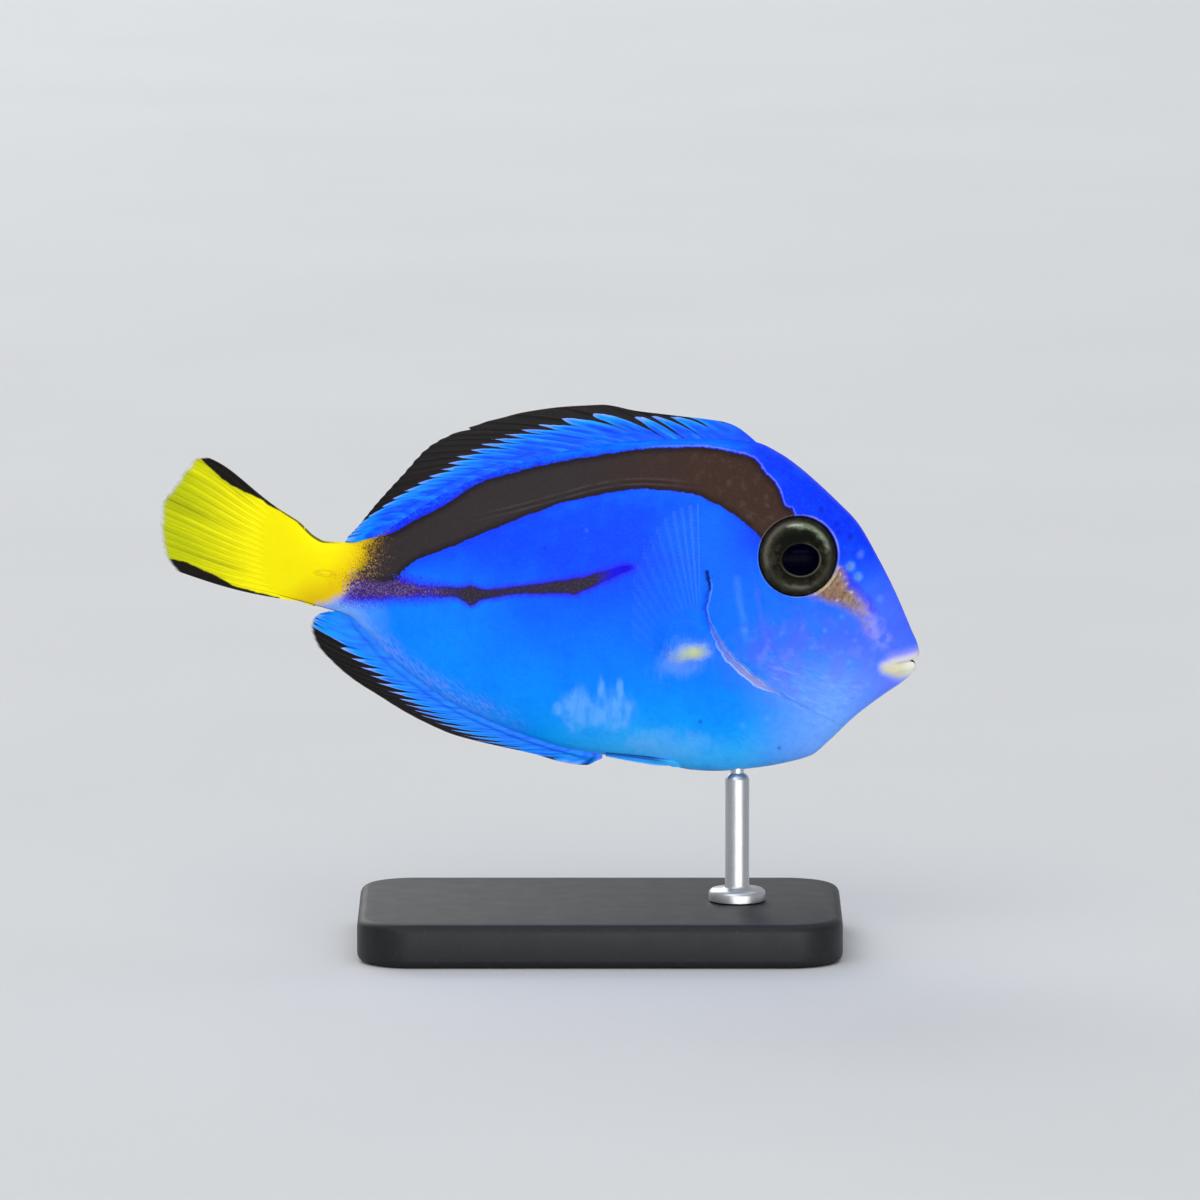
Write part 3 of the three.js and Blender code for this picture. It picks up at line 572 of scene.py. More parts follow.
class Finish:
    """A procedural material. Numbers that are the same all over go in at the start."""

    def __init__(self, name, **settings):
        self.material = bpy.data.materials.new(name)
        self.material.use_nodes = True
        self.tree = self.material.node_tree
        self.shader = self.tree.nodes["Principled BSDF"]
        for socket, value in settings.items():
            self.shader.inputs[socket.replace("_", " ")].default_value = value

    def node(self, kind, settings=None, sockets=None, output=0):
        """A node of a kind with its settings and the values or wires of its sockets."""
        made = self.tree.nodes.new(kind)
        for name, value in (settings or {}).items():
            if name == "stops":
                ramp = made.color_ramp
                while len(ramp.elements) < len(value):
                    ramp.elements.new(0.5)
                for element, (position, colour) in zip(ramp.elements, value):
                    element.position = position
                    element.color = colour
            else:
                setattr(made, name, value)
        for key, value in (sockets or {}).items():
            if isinstance(value, Wire):
                self.tree.links.new(value.socket, made.inputs[key])
            else:
                made.inputs[key].default_value = value
        return Wire(self, made.outputs[output])

    def feed(self, **wires):
        """Leads wires to the shader's sockets, each by its name."""
        for socket, wire in wires.items():
            self.tree.links.new(wire.socket, self.shader.inputs[socket.replace("_", " ")])

    def read(self, name):
        """A number that the piece keeps for each vertex."""
        return self.node("ShaderNodeAttribute", {"attribute_name": name}, output="Fac")

    def spot(self, stretch=(1, 1, 1)):
        """The place on the object in millimetres, as a vector."""
        where = self.node("ShaderNodeTexCoord", output="Object")
        factors = tuple(s / MM for s in stretch)
        return self.node("ShaderNodeVectorMath", {"operation": "MULTIPLY"}, {0: where, 1: factors})

    def moved(self, where, shift):
        """The same place in another part of a pattern."""
        return self.node("ShaderNodeVectorMath", {"operation": "ADD"}, {0: where, 1: (shift, shift, shift)})

    def along(self, axis):
        """The place along the object's X, Y or Z, in millimetres."""
        return self.node("ShaderNodeSeparateXYZ", None, {0: self.spot()}, output=axis)

    def noise(self, size, detail=2.0, rough=0.5, stretch=(1, 1, 1), shift=0.0):
        """A cloudy pattern from about 0.25 to 0.75, with patches of a size in millimetres."""
        moved = self.moved(self.spot(stretch), shift)
        sockets = {"Vector": moved, "Scale": 1 / size, "Detail": detail, "Roughness": rough}
        return self.node("ShaderNodeTexNoise", None, sockets)

    def streaks(self, width, length, degrees, shift=0.0):
        """Soft strokes of a width and length in millimetres, which rise towards the snout at an angle."""
        sockets = {"Vector": self.spot(), "Rotation": (0, math.radians(degrees), 0)}
        along = self.node("ShaderNodeMapping", {"vector_type": "POINT"}, sockets)
        shares = (1 / length, 1 / width, 1 / width)
        drawn = self.node("ShaderNodeVectorMath", {"operation": "MULTIPLY"}, {0: along, 1: shares})
        sockets = {"Vector": self.moved(drawn, shift), "Scale": 1.0, "Detail": 2.0}
        return self.node("ShaderNodeTexNoise", None, sockets)

    def cells(self, size, feature, output):
        """A pattern of cells of a size in millimetres, as one feature of them from one output."""
        sockets = {"Vector": self.spot(), "Scale": 1 / size}
        return self.node("ShaderNodeTexVoronoi", {"feature": feature}, sockets, output)

    def mix(self, share, first, second):
        """From the first colour at share 0 to the second at share 1."""
        first, second = (c if isinstance(c, Wire) else paint(*c) for c in (first, second))
        return self.node("ShaderNodeMix", {"data_type": "RGBA"}, {0: share, 6: first, 7: second}, output=2)

    def layers(self, colour, marks):
        """Lays marks over a colour, one after the other. Each is a share and a colour."""
        for share, mark in marks:
            colour = self.mix(share, colour, mark)
        return colour

    def ramp(self, share, stops):
        """Runs through the colours of the stops, each a position from 0 to 1 and a colour."""
        stops = [(position, paint(*colour)) for position, colour in stops]
        return self.node("ShaderNodeValToRGB", {"stops": stops}, {0: share})

    def relief(self, height):
        """Feeds a height in millimetres to the surface's normal."""
        bump = self.node("ShaderNodeBump", None, {"Height": height, "Distance": MM})
        self.feed(Normal=bump)


class SkinPatterns:
    """What the parts of the skin's finish share: the place, patterns, distances and the gill slit."""

    def __init__(self, f):
        self.x, self.z = f.along("X"), f.along("Z")
        self.cloud = f.noise(5, 3) - 0.5
        self.patch = f.noise(1.6, 3, shift=7) - 0.5
        self.grain = f.noise(0.22, 2, shift=3) - 0.5
        self.speck = f.noise(0.16, 1.5, 0.6, shift=11)
        self.ragged = f.streaks(0.3, 1.6, 84, 9) - 0.5
        self.folds = f.streaks(0.32, 9, -24, 5)
        self.throat = f.read("throat_folds").ease(0.9, 0.2)
        self.above_keel = f.read("above_keel")
        self.below_back = f.read("below_back")
        self.orbit = f.read("orbit")
        self.pores = abs(f.read("lateral"))
        self.behind_gill = f.read("gill") + self.ragged * 0.12
        self.gill_run = f.read("gill_run")
        # The gill slit's place, which the relief sinks and the gill marks fill with painted shade.
        front = (self.behind_gill + self.grain * 0.3).ease(-0.14, 0.04)
        back = (self.behind_gill + self.patch * 0.4).ease(0.36, 0.1)
        self.slit = front * back * self.gill_run.ease(0.02, 0.05)


def flank_blue(f, skin):
    """The blue of the back, flank and belly, with the paler throat and snout, the deeper brow and a painted
    rim light along the top of the head.
    """
    x, z, cloud, patch = skin.x, skin.z, skin.cloud, skin.patch
    height = (z + cloud * 6 + patch * 1.6 - 15) / 33
    blue = f.ramp(height, [
        (0.03, (40, 174, 255)), (0.12, (6, 162, 255)), (0.23, (0, 140, 253)), (0.38, (0, 118, 251)),
        (0.5, (0, 92, 250)), (0.63, (0, 66, 249)), (0.76, (0, 68, 248)), (0.88, (0, 104, 252)),
        (1, (0, 106, 253)),
    ])
    hind = (x + cloud * 4).ease(-3, -15) * z.ease(38, 31)
    low = (skin.above_keel + cloud * 3).ease(4.6, 0.4) * (x + cloud * 3).ease(-6, 4)
    shoulder = (x + cloud * 3).ease(3, 9) * x.ease(22, 15) * z.ease(44, 39) * z.ease(22, 28)
    cheek = (x + patch * 3).ease(12, 20) * z.ease(38, 30)
    throat = (x + cloud * 4).ease(12, 21) * (z + patch * 2).ease(29, 23)
    chin = (x + patch * 2).ease(24.5, 27.5) * (z + patch).ease(26, 24.8)
    snout = (x + patch * 2).ease(21, 27) * z.ease(37, 31)
    brow = (x + patch).ease(10, 15) * z.ease(33, 39)
    # Painted highlight: a thin paler line of rim light along the top edge of the nape and forehead.
    rim = skin.below_back.ease(0.4, 0.05) * x.ease(13, 18)
    return f.layers(blue, [
        (hind * 0.6, (0, 140, 253)),
        (low * 0.8, (64, 184, 255)),
        (shoulder * 0.65, (0, 112, 251)),
        (cheek * 0.6, (44, 114, 252)),
        (throat * 0.85, (116, 170, 255)),
        (chin * 0.7, (150, 164, 252)),
        (snout * 0.7, (76, 98, 252)),
        (brow * 0.9, (0, 42, 236)),
        (rim * 0.3, (70, 92, 252)),
    ])


def scale_tones(f, skin, colour):
    """The tone of each scale, and soft mottling."""
    tone = f.node("ShaderNodeSeparateColor", None, {0: f.cells(SCALE_SIZE, "F1", "Color")})
    return f.layers(colour, [
        ((tone - 0.35).highest(0) * 0.14, (0, 48, 214)),
        ((skin.grain * 1.6).highest(0) * 0.3, (24, 136, 255)),
        ((skin.patch * 2.2).highest(0) * 0.24, (16, 124, 255)),
        ((skin.patch * -2.2).highest(0) * 0.3, (0, 54, 240)),
    ])


def belly_and_cheek_marks(f, skin, colour):
    """Pale clouds on the belly and cheek, painted light and shade on the folds of the throat, and small
    dots.
    """
    x, patch = skin.x, skin.patch
    cloudy = f.streaks(0.6, 2, 82, 21) + patch * 0.5
    belly = f.read("belly_mottle")
    belly = belly.ease(0, 0.6) * (belly + (cloudy - 0.5) * 2.4).ease(-0.3, 1.5)
    keel_rim = skin.above_keel.ease(0.4, 0.0) * x.ease(-3, 1)
    cheek = f.read("cheek_mottle")
    flecks = f.noise(1.1, 3, 0.6, shift=33).ease(0.5, 0.7) * cheek
    streak = (f.read("pale_streak") + patch * 0.9).ease(0.6, 0.0)
    fold = (abs(f.read("cheek_fold")) + patch * 0.8).ease(0.4, 0.0)
    pale_dots = (f.read("pale_dots") + patch * 0.9).ease(0.2, 1.3)
    dark_dots = (f.read("dark_dots") + skin.grain).ease(0.15, 1)
    return f.layers(colour, [
        (belly * x.ease(7, 3) * 0.3 + belly * 0.36, (108, 178, 255)),
        (keel_rim * 0.5, (128, 176, 255)),
        ((0.5 - patch).ease(0.3, 0.62) * cheek * 0.35, (98, 92, 250)),
        (flecks * 0.26, (124, 150, 255)),
        # Painted light on the throat folds' crests and painted shade in their creases, following the folds'
        # relief.
        (skin.folds.ease(0.5, 0.72) * skin.throat * 0.24, (144, 184, 255)),
        (skin.folds.ease(0.48, 0.3) * skin.throat * 0.18, (66, 116, 248)),
        (streak * (0.3 + patch * 2) * 0.5, (104, 158, 255)),
        (fold * 0.2, (96, 110, 252)),
        (pale_dots * 0.28, (128, 172, 252)),
        (dark_dots * 0.6, (6, 24, 180)),
    ])


def pectoral_base_marks(f, skin, colour):
    """The fleshy base of the side fin, paler and with a yellow patch."""
    lobe = f.read("lobe") + skin.patch * 0.8 + skin.ragged * 0.8
    yolk = f.read("lobe_yellow") + skin.patch * 1.4 + skin.grain * 0.5
    return f.layers(colour, [
        (lobe.ease(-0.15, 0.75) * 0.6, (104, 152, 255)),
        (yolk.ease(-0.6, 0.9) * 0.85, (204, 214, 122)),
    ])


def belly_fin_root_marks(f, skin, colour):
    """Lilac hatching along the belly fin's root, and the lilac underside of the stalk."""
    x, z, patch, above_keel = skin.x, skin.z, skin.patch, skin.above_keel
    hatch = f.streaks(0.15, 0.7, -52, 17)
    root = (above_keel + patch * 1.8).ease(3, 1.2) * (x + patch * 3).ease(-5, -13)
    edge = above_keel.ease(0.7, 0.1) * x.ease(-1, -8)
    lilac = (x + patch * 3).ease(-18.5, -24.5) * (z + patch * 2).ease(34, 31.6)
    return f.layers(colour, [
        (root * 0.4, (40, 130, 254)),
        (root * hatch.ease(0.44, 0.62) * 0.5, (116, 144, 252)),
        (root * hatch.ease(0.44, 0.3) * 0.3, (16, 84, 244)),
        (edge * 0.7, (24, 128, 254)),
        (lilac * 0.85, (124, 182, 255)),
    ])


def eye_surround_marks(f, skin, colour):
    """A painted highlight along the raised rim round the eye, and the tan patch below it with a violet line
    above.
    """
    x, z, patch, orbit = skin.x, skin.z, skin.patch, skin.orbit
    # Painted highlight: a thin pale line of light along the raised rim round the eye's socket.
    ring = abs(orbit - 0.06).ease(0.1, 0.01) * (0.55 + patch * 1.4)
    rim_highlight_colour = f.mix(x.ease(15, 19), (80, 150, 255), (150, 156, 240))
    tan = f.read("tan") + patch * 1.2 + skin.grain * 0.3
    near_eye = (x + patch * 1.5).ease(25, 22.4)
    blotch = f.noise(0.9, 2.5, 0.5, shift=5)
    fleck = f.noise(0.42, 1.5, 0.5, shift=19)
    pink = fleck.ease(0.58, 0.7) * tan.ease(1.1, 0.2) * x.ease(24.4, 23)
    far = f.mix((x + patch).ease(23.6, 25.6), (184, 160, 176), (142, 146, 240))
    tan_colour = f.layers(far, [
        (near_eye, (140, 110, 74)),
        (blotch.ease(0.44, 0.64) * near_eye * 0.6, (156, 138, 106)),
        (fleck.ease(0.48, 0.36) * near_eye * 0.7, (112, 74, 46)),
        (pink * 0.75, (220, 182, 176)),
    ])
    spread = near_eye * 0.97 + (1 - near_eye) * blotch.ease(0.3, 0.66) * 0.66
    violet = (f.read("violet_line") + patch).ease(0.8, 0.0)
    crescent = abs(orbit - 0.14).ease(0.18, 0.02) * x.ease(18.6, 20.4) * z.ease(35.6, 34)
    return f.layers(colour, [
        (ring, rim_highlight_colour),
        (violet * 0.6, (52, 26, 220)),
        (tan.ease(-0.6, 0.6) * spread, tan_colour),
        (crescent * (0.5 + patch), (206, 194, 164)),
    ])


def back_fin_root_marks(f, skin, colour):
    """Strokes of the back fin's root, which run on above the band."""
    over = skin.below_back.ease(2.6, 1.2) * skin.x.ease(16, 9)
    combed = f.streaks(0.28, 2.4, -6, 27)
    return f.layers(colour, [
        (over * combed.ease(0.48, 0.68) * 0.5, (16, 132, 255)),
        (over * combed.ease(0.48, 0.32) * skin.x.ease(6, -4) * 0.6, (4, 40, 236)),
    ])


def band_brown(f, skin, band):
    """The band's brown, mottled at the head, with a dark edge and the groove of the lateral line."""
    x, pores = skin.x, skin.pores
    mottle = f.noise(0.9, 4, 0.62, shift=14).ease(0.5, 0.75)
    line = x.ease(-13, -6) * x.ease(10, 5) * (skin.patch + 0.5).ease(0.2, 0.6)
    return f.layers(f.mix(x.ease(-4, 11), (46, 40, 42), (57, 38, 31)), [
        (mottle * x.ease(2, 12) * 0.42, (94, 72, 64)),
        ((skin.grain * 2).highest(0) * 0.3, (78, 70, 72)),
        (band.ease(0.7, 0.05) * 0.7, (20, 12, 22)),
        (abs(pores - 0.24).ease(0.15, 0.02) * line * 0.22, (98, 90, 92)),
        (pores.ease(0.18, 0.02) * line * 0.35, (22, 16, 20)),
    ])


def arm_dark(f, skin, arm, hind):
    """The arm's dark violet brown, blue at its tip and purple at its hind end."""
    patch, speck = skin.patch, skin.speck
    purple = f.mix(speck.ease(0.42, 0.66), (56, 34, 104), (112, 88, 148))
    purple = f.mix((arm + patch).ease(0.5, 0.1), purple, (50, 20, 190))
    return f.layers(f.mix(speck.ease(0.52, 0.68) * 0.34, (44, 38, 54), (92, 82, 96)), [
        (arm.ease(0.4, 0.05) * 0.5, (34, 8, 110)),
        ((skin.x + patch).ease(-0.7, 1.4), (4, 0, 214)),
        (hind * 0.8, purple),
    ])


def palette_marks(f, skin, colour):
    """The band over the flank and its arm, with violet fringes."""
    x, patch, speck = skin.x, skin.patch, skin.speck
    wobble = (f.noise(1.1, 3, shift=2) - 0.5) * 0.3 + (f.noise(0.28, 2, shift=9) - 0.5) * 0.2
    band = f.read("band") + wobble
    above = f.read("band_above")
    rear = x.ease(4, -14)
    fringe = (band + (speck - 0.5) * (0.4 + rear * 1.6)).ease(-0.3 - rear * 0.7, 0.1)
    glow = abs(band + 0.12).ease(0.11, 0.02) * x.ease(2, 8) * above * (0.6 + patch)
    hind = (x + patch).ease(-12.3, -16.5)
    arm = f.read("arm") + wobble * 0.9 + (speck - 0.5) * hind
    arm_tip = x.ease(4.4, 2.4)
    arm_fringe = (arm + (speck - 0.5) * 0.8).ease(-0.55 - hind * 0.5, 0.1)
    ragged_end = (x + patch).ease(-16.6, -18.8) * skin.z.ease(35.6, 34)
    return f.layers(colour, [
        (fringe * (0.3 + above * 0.5), (22, 8, 218)),
        (glow * 0.8, (120, 136, 255)),
        (arm_fringe * arm_tip * 0.75, (40, 16, 226)),
        (arm.ease(-0.06, 0.16) * arm_tip, arm_dark(f, skin, arm, hind)),
        ((band + (speck - 0.5) * ragged_end * 2).ease(-0.03, 0.08), band_brown(f, skin, band)),
    ])


def stalk_marks(f, skin, colour):
    """The yellow stalk, speckled into the band, pale against the blue and with thin dark edges."""
    x, z, patch, speck = skin.x, skin.z, skin.patch, skin.speck
    yellow = f.read("yellow") + patch * 0.8
    low = z.ease(34, 32.4)
    sandy = (yellow + (speck - 0.5) * 7).ease(-1.6, 0.2) * yellow.ease(-3.4, -0.6)
    sand_colour = f.layers(f.mix(speck.ease(0.44, 0.66), (84, 60, 48), (152, 120, 86)), [
        (z.ease(35, 36.5), (122, 92, 30)),
        (low, (110, 84, 196)),
    ])
    olive = (1 - low) * (speck - 0.5 - yellow * 0.13).ease(-0.1, 0.08)
    gold = f.layers(f.mix(yellow.ease(0.2, 3.4), (226, 190, 2), tail_yellow(f, x)), [
        ((patch * 2).highest(0) * 0.3 * x.ease(-30, -26), (234, 208, 0)),
        (olive * 0.7, (126, 98, 8)),
    ])
    upper_line = skin.below_back.ease(0.17, 0.06) * x.ease(-23, -25.5)
    lower_line = skin.above_keel.ease(0.16, 0.05) * x.ease(-21.8, -23.5)
    return f.layers(colour, [
        (sandy * (1 - low * 0.4) * 0.8, sand_colour),
        (yellow.ease(-0.8, 0.1) * z.ease(32.8, 31.8) * 0.6, (180, 188, 246)),
        ((yellow + (speck - 0.5) * (4 - 2.6 * low)).ease(-0.4, 0.4), gold),
        (abs(f.read("blade") - 1 + patch).ease(0.4, 0.0) * 0.35, (206, 160, 0)),
        (upper_line.highest(lower_line) * 0.85, (34, 28, 6)),
        ((f.read("tail_black") + patch * 0.2).ease(-0.07, 0.1), FIN_BLACK),
    ])


def gill_marks(f, skin, colour):
    """The gill slit: painted shade in the slit, darkest at the top, a painted highlight along the gill
    cover's edge, then a strip of pale membrane between two painted highlight lines.
    """
    patch, behind, run, slit = skin.patch, skin.behind_gill, skin.gill_run, skin.slit
    torn = f.noise(0.9, 2, shift=41).ease(0.36, 0.5)
    # Painted shade in the lower, shallower part of the slit.
    shallow_slit_shade = slit * run.ease(0.16, 0.3) * run.ease(0.99, 0.84)
    # Painted highlight along the raised edge of the gill cover.
    lit = abs(behind + 0.14 + patch * 0.1).ease(0.13, 0.02) * run.ease(0.08, 0.3) * (0.8 + patch)
    lower = run.ease(0.42, 0.68) * run.ease(0.97, 0.8)
    half = lower * 0.3
    strip = abs(behind - half - 0.02) - half
    strip_colour = f.mix((run + patch * 0.3).ease(0.6, 0.85), (104, 126, 216), (150, 148, 200))
    return f.layers(colour, [
        # Painted shade in the gill slit, darkest at its top.
        (slit * run.ease(0.3, 0.2) * torn * 0.95, (6, 14, 84)),
        (shallow_slit_shade * (0.25 + torn * 0.3), (24, 50, 196)),
        (lit * 0.5, (124, 172, 255)),
        (strip.ease(0.04, -0.12) * lower * 0.85, strip_colour),
        # Painted highlights along both edges of the membrane strip.
        (abs(strip).ease(0.12, 0.02) * lower * (0.7 + patch), (172, 196, 255)),
    ])


def socket_and_mouth_marks(f, skin, colour):
    """The eye's dark socket with its lid, the cream lips with painted shade in the mouth's cleft and inside
    its opening, and the nostrils.
    """
    x, z, patch, grain, orbit = skin.x, skin.z, skin.patch, skin.grain, skin.orbit
    lid = abs(orbit - 0.09).ease(0.12, 0.02) * x.ease(17.9, 17.2) * z.ease(36.8, 38) * (0.6 + patch)
    back_lip = x.ease(27.4, 26) * 0.34
    lips = f.read("lips") + grain * 0.2 + patch * 0.3 + back_lip
    above = f.read("mouth")
    cream = f.mix(x.ease(27.2, 28.4), (212, 208, 168), (226, 228, 208))
    cream = f.mix((z + patch * 0.3).ease(25.2, 24.3), cream, (150, 170, 248))
    upper = f.mix((above + patch * 0.3).ease(0.25, 1), (214, 210, 204), (146, 146, 246))
    # Painted shade: a soft beige shadow along the mouth's cleft.
    painted_cleft_shade = abs(above).ease(0.14, 0.02) * x.ease(26.2, 27.4)
    nostrils = f.read("nostrils") + grain * 0.3 + patch * 0.2
    return f.layers(colour, [
        (lid * 0.8, (112, 102, 96)),
        (orbit.ease(0.05, -0.08), (12, 10, 26)),
        (lips.ease(-0.7, 0.4) * 0.96, f.mix(above.ease(-0.06, 0.06), cream, upper)),
        (painted_cleft_shade * 0.35, (196, 178, 150)),
        # Painted shade inside the open notch of the mouth.
        (f.read("gape").ease(0.04, 0.4), (70, 48, 50)),
        (nostrils.ease(0.3, -0.15) * 0.55, (88, 160, 236)),
        (nostrils.ease(0.0, -0.26) * 0.6, (110, 132, 150)),
    ])


def skin_finish():
    """Blue scaled skin with the brown-black flank marking, the yellow stalk and the small head marks."""
    f = Finish("tang_skin", IOR=1.4, Specular_IOR_Level=0.13)
    skin = SkinPatterns(f)
    colour = flank_blue(f, skin)
    for marks in (
        scale_tones, belly_and_cheek_marks, pectoral_base_marks, belly_fin_root_marks,
        eye_surround_marks, back_fin_root_marks, palette_marks, stalk_marks, gill_marks,
        socket_and_mouth_marks,
    ):
        colour = marks(f, skin, colour)
    f.feed(Base_Color=colour, Roughness=0.46 + skin.patch * 0.16 + skin.grain * 0.1)
    scale_edges = f.cells(SCALE_SIZE, "DISTANCE_TO_EDGE", "Distance").ease(0, 0.1)
    ridges = scale_edges * 0.012 + skin.grain * 0.018 + skin.patch * 0.03
    creases = (skin.folds - 0.5) * skin.throat * 0.09 + skin.slit * -0.05
    flank_line = skin.pores.ease(0.16, 0.04) * 0.015
    f.relief(ridges + creases + flank_line)
    return f.material


def fin_rays(f, rays, spread=0.16):
    """Place between two rays, how much a spot lies on one, and its shares of the width and length."""
    uv = f.node("ShaderNodeUVMap", {"uv_map": "UVMap"})
    u, v = [f.node("ShaderNodeSeparateXYZ", None, {0: uv}, output=k) for k in (0, 1)]
    between = abs((u * (rays - 1) + 0.5).fraction() - 0.5)
    return between, between.ease(spread, spread * 0.4), u, v


def tail_yellow(f, x):
    """The yellow of the stalk and the tail fin, greener towards the fin's edge."""
    near = f.mix(x.ease(-26, -33), (248, 232, 0), (244, 234, 0))
    return f.mix(x.ease(-31, -39), near, (184, 194, 0))


def folded_fin_finish(name, rays, form, root):
    """Blue at the root and black at the edge, which meet in flame-like strokes along the rays."""
    f = Finish(name, Specular_IOR_Level=0.14, Roughness=0.46)
    between, on_ray, u, v = fin_rays(f, rays)
    grain = f.noise(0.2, 2) - 0.5
    patch = f.noise(1.2, 3, shift=4) - 0.5
    x = f.along("X")
    front = x.ease(8, 13)
    spiny = x.ease(-3, 3)
    tooth = between * form["tooth"] * (1 - spiny) + between.ease(0.16, 0.58) * 1.3 * spiny
    lean = 0.36 * form["tooth"] - 0.23
    flame = f.read("margin") + f.read("stroke") * (tooth - lean + patch * 0.6)
    across = f.node("ShaderNodeCombineXYZ", None, {0: u * rays * 2.2, 1: v * 2.5, 2: 1.3})
    strokes = f.node("ShaderNodeTexNoise", None, {"Vector": across, "Scale": 1.0, "Detail": 2.0})
    rear = 1 - front
    gap = between.ease(0.3, 0.48) * flame.ease(-1.4, -0.1) * 0.7
    tip = between.ease(0.34, 0.1) * flame.ease(-1, -0.05) * x.ease(13, 4) * form["pale_tip"]
    blue = f.layers(root, [
        (flame.ease(-2.6, -0.2) * v.ease(0.1, 0.5), (0, 148, 255)),
        (front * 0.9, (0, 74, 248)),
        ((patch * 2).highest(0) * 0.3, (16, 146, 255)),
        ((patch * -2).highest(0) * 0.4, (4, 50, 238)),
        (strokes.ease(0.48, 0.7) * rear * 0.5, (20, 158, 255)),
        (strokes.ease(0.46, 0.3) * rear * 0.45, (0, 58, 240)),
        (gap * rear, (0, 20, 128)),
        (tip, (152, 172, 255)),
    ])
    black = f.layers(f.mix(on_ray * 0.5, (13, 10, 9), (44, 32, 26)), [
        (strokes.ease(0.5, 0.7) * 0.3, (44, 33, 28)),
        (flame.ease(0.5, 0.0) * 0.4, (8, 12, 50)),
    ])
    colour = f.layers(blue, [
        (flame.ease(-0.12, 0.1), black),
        ((grain * 2).highest(0) * 0.08, (60, 84, 140)),
    ])
    f.feed(Base_Color=colour, Alpha=1 - v.ease(1 - form["clear_edge"], 1) * 0.95)
    f.relief(on_ray * (0.022 + (v * 260).wave() * 0.004) + grain * 0.006)
    return f.material


def tail_fin_finish():
    """Bright yellow with thin olive lines, painted light and shade of small folds in its outer half, a
    black band along each edge and a clear trailing edge.
    """
    f = Finish("tang_tail_fin", Specular_IOR_Level=0.14, Roughness=0.46)
    between, on_ray, u, v = fin_rays(f, TAIL_RAYS, 0.2)
    grain = f.noise(0.2, 2) - 0.5
    patch = f.noise(1.4, 3, shift=4) - 0.5
    across = f.node("ShaderNodeCombineXYZ", None, {0: u * 13, 1: v * 0.9, 2: 3.7})
    sockets = {"Vector": across, "Scale": 1.0, "Detail": 2.5, "Roughness": 0.6}
    folds = f.node("ShaderNodeTexNoise", None, sockets)
    out = (v + patch * 0.06).ease(0.34, 0.62)
    # Painted shade in the troughs of small folds across the outer half, with painted light on their crests
    # just below.
    painted_fold_shade = folds.ease(0.5, 0.34) * out
    line = between.ease(0.34, 0.5) * (v + patch * 0.1).ease(0.42, 0.6)
    tip = (v + folds * 0.06 - 0.03).ease(0.96, 1)
    black = f.read("black") + patch * 0.3 + grain * 0.12
    colour = f.layers(tail_yellow(f, f.along("X") + patch * 2), [
        (folds.ease(0.52, 0.68) * out * 0.5, (240, 234, 4)),
        (painted_fold_shade * 0.4, (150, 156, 0)),
        (line * (0.32 + painted_fold_shade * 0.38), (110, 108, 0)),
        (tip * 0.6, (200, 206, 170)),
        (black.ease(-0.07, 0.1), FIN_BLACK),
    ])
    f.feed(Base_Color=colour, Alpha=1 - tip * 0.9)
    f.relief((on_ray * ((v * 300).wave() * 0.004 + 0.016)) * out + grain * 0.006)
    return f.material


def belly_fin_finish():
    """The pale blue of the belly with darker lines between the rays, painted shade along the top edge where
    it lies against the belly, and a white lower edge.
    """
    f = Finish("tang_pelvic_fins", Specular_IOR_Level=0.14, Roughness=0.46)
    between, on_ray, u, v = fin_rays(f, PELVIC_RAYS, 0.2)
    patch = f.noise(1.2, 3, shift=4) - 0.5
    # Painted shade: a dark line along the fin's top edge, in the gap against the belly.
    top = (u + patch * 0.3).ease(0.74, 0.94)
    colour = f.layers(f.mix(v.ease(0.1, 0.9), (60, 182, 255), (40, 160, 255)), [
        (between.ease(0.3, 0.5) * v.ease(0.2, 0.6) * 0.2, (0, 100, 240)),
        (top * v.ease(0.25, 0.5) * 0.75, (0, 24, 110)),
        (u.ease(0.2, 0.03) * v.ease(0.2, 0.5) * 0.5, (190, 206, 250)),
    ])
    f.feed(Base_Color=colour, Roughness=0.46 + patch * 0.1)
    f.relief(on_ray * 0.02)
    return f.material


def side_fin_finish():
    """Clear, colourless fin skin with faint rays."""
    f = Finish("tang_side_fins", Roughness=0.3, IOR=1.36, Specular_IOR_Level=0.2)
    _, on_ray, u, v = fin_rays(f, PECTORAL_RAYS, 0.3)
    colour = f.mix(on_ray, (70, 140, 255), (120, 176, 255))
    ray = on_ray * (0.075 - v * 0.035) * (1.1 - u * 2.2).highest(0.16)
    f.feed(Base_Color=colour, Alpha=0.015 + ray + v.ease(0.2, 0) * 0.1)
    f.relief(on_ray * 0.01)
    return f.material


